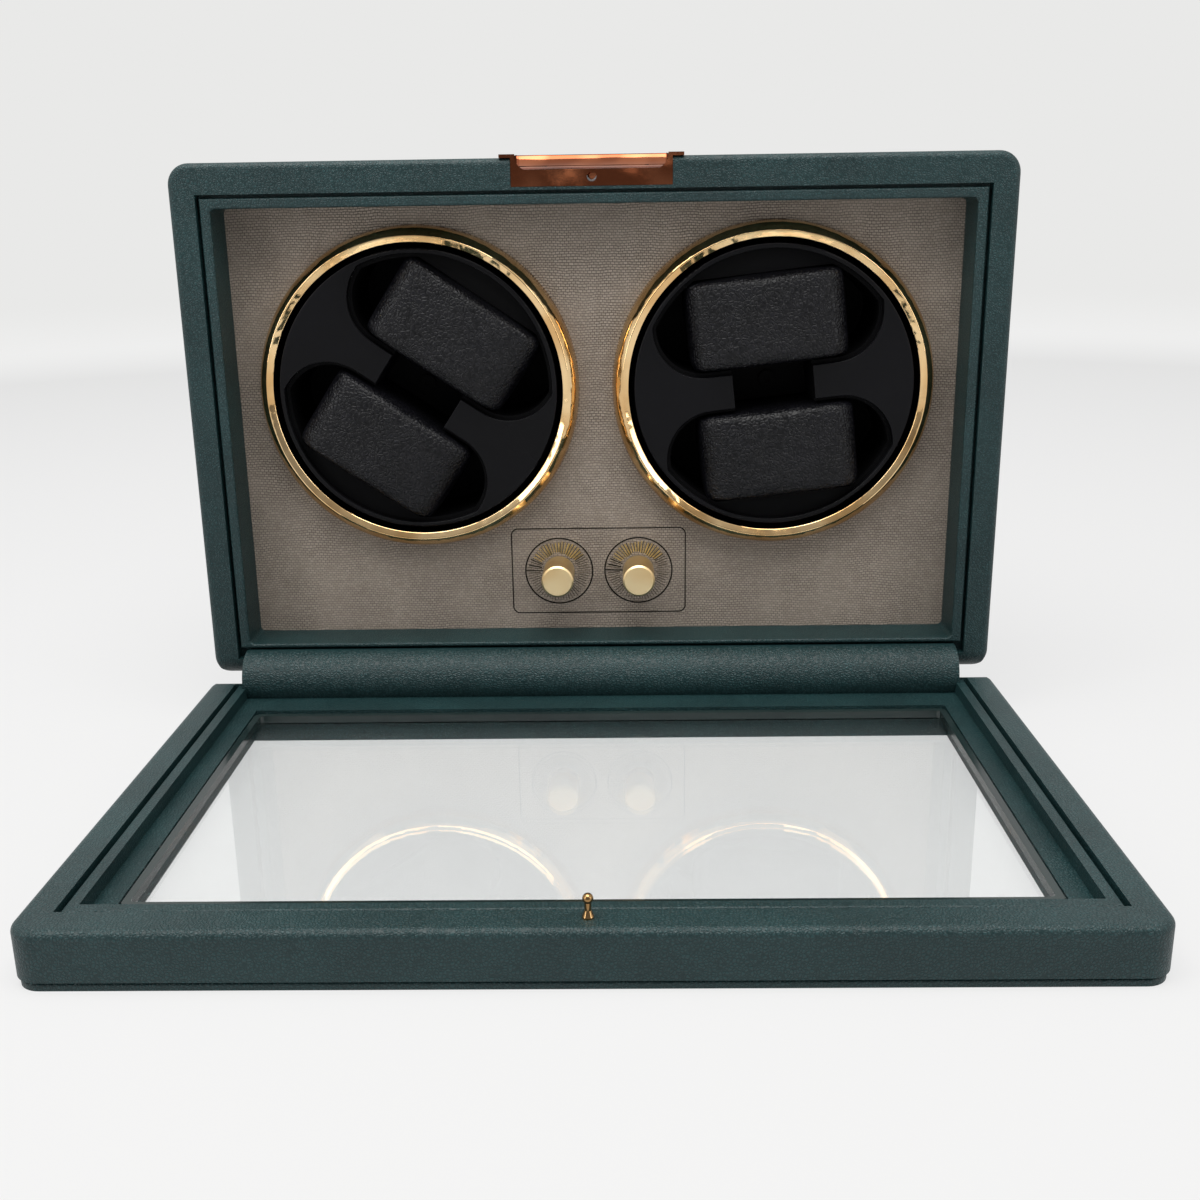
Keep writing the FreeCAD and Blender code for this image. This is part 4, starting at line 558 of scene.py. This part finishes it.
def ringProfile(depth):
    # Each point is a step beside the solid ring's outer radius and a depth behind its front
    look = ringShape
    inner, drop, edge = look["inner"], look["innerDrop"], look["innerRound"]
    ridge, crest = look["ridge"], look["ridgeRound"]
    line = [
        (inner, look["throat"]), (inner, drop + edge),
        (inner + edge * look["innerSoft"], drop + edge * look["innerSoft"]), (inner + edge, drop),
        (ridge - crest, crest * look["crestIn"]),
        (ridge - crest * look["crestSoft"], 0.0), (ridge + crest * look["crestSoft"], 0.0)]
    top = (ridge + crest, crest * look["crestOut"])
    foot = (look["foot"], look["footRise"])
    for step in range(look["slopeSteps"] + 1):
        share = step / look["slopeSteps"]
        bow = look["bulge"] * math.sin(math.pi * share)
        radius = top[0] + (foot[0] - top[0]) * share + bow
        line.append((radius, top[1] + (depth - foot[1] - top[1]) * share - bow * look["bulgeForward"]))
    hem = foot[0] + look["hem"]
    line += [(hem, depth - foot[1] * look["hemShare"]), (hem, depth)]
    line += [(look["seat"], depth), (look["seat"], look["throat"])]
    return line


def turnRing(side):
    low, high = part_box("ring_" + side)
    centre = (low + high) / 2
    reach = (high.x - low.x) / 2
    line = ringProfile(high.y - low.y)
    count, turns = len(line), ringShape["segments"]
    corners, faces = [], []
    for index in range(turns):
        angle = 2 * math.pi * index / turns
        across, up = math.cos(angle), math.sin(angle)
        corners += [
            (centre.x + (reach + along) * across, low.y + back, centre.z + (reach + along) * up)
            for along, back in line]
    for index in range(turns):
        here, there = index * count, (index + 1) % turns * count
        for point in range(count):
            following = (point + 1) % count
            faces.append((here + point, here + following, there + following, there + point))
    ring = meshPiece("giltRing_" + side, corners, faces, [giltRing])
    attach(ring, "case")
    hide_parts("ring_" + side)


for side in ("left", "right"):
    turnRing(side)
print("rings turned")


# Dial scales, and dark cords that paint the shade of the gaps round the dial discs and the control plate,
# made with Geometry Nodes

dialScale = {
    "gold": {"start": 36.0, "sweep": 114.0, "count": 18, "inner": 0.0076, "outer": 0.0134, "width": 0.00055},
    "dim": {"start": 33.0, "sweep": 120.0, "count": 19, "inner": 0.0074, "outer": 0.0134, "width": 0.0004},
    "dark": {"start": 156.0, "sweep": 238.0, "count": 44, "inner": 0.0076, "outer": 0.0138, "width": 0.0003},
    "long": {"start": 157.0, "sweep": 22.0, "count": 3, "inner": 0.0066, "outer": 0.0142, "width": 0.00042},
}
scaleSpread = {"shortest": 0.6, "thinnest": 0.5, "thickest": 1.3, "seed": 7, "lift": 0.00008}
# Sizes of the dark cords that paint the shade in the gaps round the dial discs and the control plate
dialGapShade = {"reach": 0.01455, "cord": 0.00045, "sunk": 0.00033}
plateGapShade = {"beyond": 0.0002, "corner": 0.0029, "cord": 0.00045, "sunk": 0.00033}
cordSteps = {"corner": 24, "round": 10}


def geometryTree(name, labels):
    # A node tree with named inputs, and a short way to add nodes to it
    tree = bpy.data.node_groups.new(name, "GeometryNodeTree")
    face = tree.interface
    face.new_socket("Geometry", in_out="OUTPUT", socket_type="NodeSocketGeometry")
    keys = {
        label: face.new_socket(label, in_out="INPUT", socket_type="NodeSocket" + kind).identifier
        for label, kind in labels.items()}

    def geo(kind, inputs=None, **options):
        node = tree.nodes.new(kind)
        for key, value in options.items():
            setattr(node, key, value)
        for key, value in (inputs or {}).items():
            wire(tree, node.inputs[key], value)
        return node

    return tree, keys, geo


def closeTree(tree, geo, shape, material):
    real = geo("GeometryNodeRealizeInstances", {"Geometry": shape})
    paint = geo("GeometryNodeSetMaterial", {"Geometry": real.outputs[0], "Material": material})
    output = geo("NodeGroupOutput")
    tree.links.new(paint.outputs[0], output.inputs[0])


def lineTree(name, material):
    # Small bars on an arc, each turned outwards and a little unlike the next
    tree, keys, geo = geometryTree(name, {
        "Count": "Int", "Start": "Float", "Sweep": "Float", "Inner": "Float", "Outer": "Float",
        "Width": "Float", "Lift": "Float", "Shortest": "Float", "Thinnest": "Float",
        "Thickest": "Float", "Seed": "Int"})
    values = geo("NodeGroupInput").outputs
    total = geo("ShaderNodeMath", {0: values["Inner"], 1: values["Outer"]}, operation="ADD").outputs[0]
    middle = geo("ShaderNodeMath", {0: total, 1: 0.5}, operation="MULTIPLY").outputs[0]
    reach = geo("ShaderNodeMath", {0: values["Outer"], 1: values["Inner"]}, operation="SUBTRACT").outputs[0]
    arc = geo("GeometryNodeCurveArc", {
        "Radius": middle, "Start Angle": values["Start"], "Sweep Angle": values["Sweep"]})
    points = geo("GeometryNodeCurveToPoints", {
        "Curve": arc.outputs["Curve"], "Count": values["Count"]}, mode="COUNT")
    size = geo("ShaderNodeCombineXYZ", {"X": reach, "Y": values["Width"], "Z": values["Lift"]})
    bar = geo("GeometryNodeMeshCube", {"Size": size.outputs[0]})
    outward = geo("GeometryNodeInputPosition").outputs[0]
    turn = geo("FunctionNodeAlignRotationToVector", {"Vector": outward}, axis="X")
    low = geo("ShaderNodeCombineXYZ", {"X": values["Shortest"], "Y": values["Thinnest"], "Z": 1.0})
    high = geo("ShaderNodeCombineXYZ", {"X": 1.0, "Y": values["Thickest"], "Z": 1.0})
    vary = geo("FunctionNodeRandomValue", {
        0: low.outputs[0], 1: high.outputs[0], "Seed": values["Seed"]}, data_type="FLOAT_VECTOR")
    copies = geo("GeometryNodeInstanceOnPoints", {
        "Points": points.outputs["Points"], "Instance": bar.outputs["Mesh"], "Rotation": turn.outputs[0],
        "Scale": vary.outputs[0]})
    closeTree(tree, geo, copies.outputs[0], material)
    return tree, keys


def gapShadeCordTree(name, material):
    # A rounded oblong cord; with a corner of half its side it is a circle. Made dark, it paints the shade of
    # a hairline gap
    tree, keys, geo = geometryTree(name, {
        "Wide": "Float", "High": "Float", "Corner": "Float", "Cord": "Float"})
    values = geo("NodeGroupInput").outputs
    oblong = geo("GeometryNodeCurvePrimitiveQuadrilateral", {
        "Width": values["Wide"], "Height": values["High"]})
    corner = geo("GeometryNodeFilletCurve", {
        "Curve": oblong.outputs[0], "Count": cordSteps["corner"], "Radius": values["Corner"],
        "Limit Radius": True}, mode="POLY")
    thread = geo("GeometryNodeCurvePrimitiveCircle", {
        "Resolution": cordSteps["round"], "Radius": values["Cord"]})
    body = geo("GeometryNodeCurveToMesh", {
        "Curve": corner.outputs[0], "Profile Curve": thread.outputs[0]})
    closeTree(tree, geo, body.outputs[0], material)
    return tree, keys


def growPiece(name, grown, values, matrix):
    # One piece from a tree and its inputs, stood up and fixed to the case
    tree, keys = grown
    piece = meshPiece(name, [], [], [])
    grow = piece.modifiers.new("grow", "NODES")
    grow.node_group = tree
    for label, value in values.items():
        grow[keys[label]] = value
    bake(piece)
    placeMesh(piece, matrix)
    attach(piece, "case")


scaleGold = matPlastic("scale gold", {
    **plasticLook, "dark": rgb(118, 98, 50), "light": rgb(176, 148, 84), "cloud": 400.0, "specular": 0.6})
scaleDark = matPlastic("scale dark", {
    **plasticLook, "dark": rgb(62, 55, 46), "light": rgb(82, 74, 62), "specular": 0.2})
# Dark for the long scale marks, which are print, and for the cords, where it is painted shade in the gaps
printAndGapShadeDark = matPlastic("print and gap shade dark", {
    **plasticLook, "dark": rgb(18, 16, 13), "light": rgb(26, 23, 19), "specular": 0.15,
    "gloss": (0.5, 0.65)})
scaleTrees = {
    "gold": lineTree("gold lines", scaleGold),
    "dim": lineTree("dim lines", scaleDark),
    "dark": lineTree("dark lines", scaleDark),
    "long": lineTree("long lines", printAndGapShadeDark)}
gapShadeCords = gapShadeCordTree("outline", printAndGapShadeDark)
standing = Matrix.Rotation(math.pi / 2, 4, "X")
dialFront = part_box("dial_discs")[0].y
plateLow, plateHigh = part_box("control_plate")
for side in ("left", "right"):
    centre = Vector(joints[side + "_knob_turn"]["pos_m"])
    flush = Matrix.Translation((centre.x, dialFront, centre.z))
    for kind, look in dialScale.items():
        growPiece(f"dialScale_{kind}_{side}", scaleTrees[kind], {
            "Count": look["count"], "Start": math.radians(look["start"]),
            "Sweep": math.radians(look["sweep"]), "Inner": look["inner"], "Outer": look["outer"],
            "Width": look["width"], "Lift": scaleSpread["lift"], "Shortest": scaleSpread["shortest"],
            "Thinnest": scaleSpread["thinnest"], "Thickest": scaleSpread["thickest"],
            "Seed": scaleSpread["seed"]}, flush @ standing)
    # A dark cord sunk into the gap round each dial disc: painted shade
    across = 2 * dialGapShade["reach"]
    behind = Matrix.Translation((centre.x, plateLow.y + dialGapShade["sunk"], centre.z))
    growPiece(f"dialGapShade_{side}", gapShadeCords, {
        "Wide": across, "High": across, "Corner": dialGapShade["reach"],
        "Cord": dialGapShade["cord"]}, behind @ standing)
# A dark cord sunk into the gap round the control plate: painted shade
middle = (plateLow + plateHigh) / 2
behind = Matrix.Translation((middle.x, plateLow.y + plateGapShade["sunk"], middle.z))
growPiece("plateGapShade", gapShadeCords, {
    "Wide": plateHigh.x - plateLow.x + 2 * plateGapShade["beyond"],
    "High": plateHigh.z - plateLow.z + 2 * plateGapShade["beyond"],
    "Corner": plateGapShade["corner"], "Cord": plateGapShade["cord"]}, behind @ standing)
print("dial scales and outlines made")


# Floor, light and camera

studio = {
    "backdrop": rgb(233, 233, 232), "near": rgb(244, 244, 244), "floor": (0.62, 0.62, 0.62, 1.0),
    "floorReach": 20, "floorGlow": 0.78, "farFrom": 0.3, "farTo": 1.8, "fadeFrom": 0.4, "fadeTo": 3.0,
    "horizon": (0.5, 0.51, 0.53, 1.0), "zenith": (1.0, 1.0, 1.0, 1.0), "domeLow": -0.1, "domeHigh": 0.9,
    "domeStrength": 0.42, "rearFrom": -0.8, "rearTo": -0.4,
}
lamps = {
    "top softbox": {
        "place": (-0.1, -0.4, 1.3), "aim": (0, -0.05, 0.1), "size": (1.3, 1.0), "power": 21.0,
        "colour": (1.0, 0.99, 0.97)},
    "left strip": {
        "place": (-0.95, -0.75, 0.55), "aim": (0, 0, 0.12), "size": (0.25, 0.9), "power": 3.0,
        "colour": (1.0, 1.0, 1.0)},
    "right strip": {
        "place": (0.95, -0.75, 0.6), "aim": (0, 0, 0.12), "size": (0.25, 0.9), "power": 2.5,
        "colour": (1.0, 0.99, 0.97)},
}
shot = {
    "focalPixels": 1343.36, "imagePixels": 1200, "sensor": 36.0, "pitch": 16.517, "yaw": -1.141,
    "roll": -0.893, "place": (0.01151, -0.60221, 0.21305)}


def paleRays(tree):
    # The rays that meet the pale background: straight, through glass and off metal
    path = put(tree, "LightPath").outputs
    straight = calc(tree, "MAXIMUM", path["Is Camera Ray"], path["Is Transmission Ray"])
    return straight, path["Is Glossy Ray"]


def studioFloor():
    material, tree = startMaterial("studio floor")
    away = put(tree, "VectorMath", {0: objectPlace(tree)}, operation="LENGTH").outputs["Value"]
    straight, gloss = paleRays(tree)
    seen = calc(tree, "MULTIPLY", calc(tree, "MAXIMUM", straight, gloss), studio["floorGlow"])
    far = remap(tree, away, studio["farFrom"], studio["farTo"])
    fade = remap(tree, away, studio["fadeFrom"], studio["fadeTo"])
    lit = put(tree, "BsdfDiffuse", {"Color": studio["floor"]})
    glow = put(tree, "Emission", {
        "Color": mixColour(tree, fade, studio["near"], studio["backdrop"]), "Strength": 1.0})
    mixed = put(tree, "MixShader", {
        0: calc(tree, "MAXIMUM", seen, far), 1: lit.outputs[0], 2: glow.outputs[0]})
    output = put(tree, "OutputMaterial")
    tree.links.new(mixed.outputs[0], output.inputs["Surface"])
    reach = studio["floorReach"]
    corners = [(-reach, -reach, 0), (reach, -reach, 0), (reach, reach, 0), (-reach, reach, 0)]
    meshPiece("studioFloor", corners, [(0, 1, 2, 3)], [material])


def studioWorld():
    world = bpy.data.worlds.new("studio")
    bpy.context.scene.world = world
    world.use_nodes = True
    tree = world.node_tree
    tree.nodes.clear()
    way = put(tree, "SeparateXYZ", {0: put(tree, "TexCoord").outputs["Generated"]}).outputs
    upward = remap(tree, way["Z"], studio["domeLow"], studio["domeHigh"])
    dome = mixColour(tree, upward, studio["horizon"], studio["zenith"])
    light = put(tree, "Background", {"Color": dome, "Strength": studio["domeStrength"]})
    seen = put(tree, "Background", {"Color": studio["backdrop"], "Strength": 1.0})
    straight, gloss = paleRays(tree)
    rear = calc(tree, "MULTIPLY", gloss, remap(tree, way["Y"], studio["rearFrom"], studio["rearTo"]))
    mixed = put(tree, "MixShader", {
        0: calc(tree, "MAXIMUM", straight, rear), 1: light.outputs[0], 2: seen.outputs[0]})
    output = put(tree, "OutputWorld")
    tree.links.new(mixed.outputs[0], output.inputs["Surface"])


def areaLamp(name, look):
    data = bpy.data.lights.new(name, "AREA")
    data.shape = "RECTANGLE"
    data.size, data.size_y = look["size"]
    data.energy = look["power"]
    data.color = look["colour"]
    lamp = bpy.data.objects.new(name, data)
    lamp.location = look["place"]
    aim = Vector(look["aim"]) - Vector(look["place"])
    lamp.rotation_euler = aim.to_track_quat("-Z", "Y").to_euler()
    bpy.context.scene.collection.objects.link(lamp)


def photoCamera():
    pitch, yaw, roll = (math.radians(shot[angle]) for angle in ("pitch", "yaw", "roll"))
    ahead = Vector((math.sin(yaw) * math.cos(pitch), math.cos(yaw) * math.cos(pitch), -math.sin(pitch)))
    level = Vector((math.cos(yaw), -math.sin(yaw), 0))
    upright = level.cross(ahead)
    right = level * math.cos(roll) + upright * math.sin(roll)
    up = upright * math.cos(roll) - level * math.sin(roll)
    data = bpy.data.cameras.new("photo camera")
    data.sensor_width = shot["sensor"]
    data.lens = shot["focalPixels"] / shot["imagePixels"] * data.sensor_width
    camera = bpy.data.objects.new("photo camera", data)
    facing = Matrix((right, up, -ahead)).transposed().to_4x4()
    camera.matrix_world = Matrix.Translation(shot["place"]) @ facing
    bpy.context.scene.collection.objects.link(camera)
    bpy.context.scene.camera = camera


studioFloor()
studioWorld()
for name, look in lamps.items():
    areaLamp(name, look)
photoCamera()
bpy.context.scene.view_settings.view_transform = "Standard"
print("studio set")
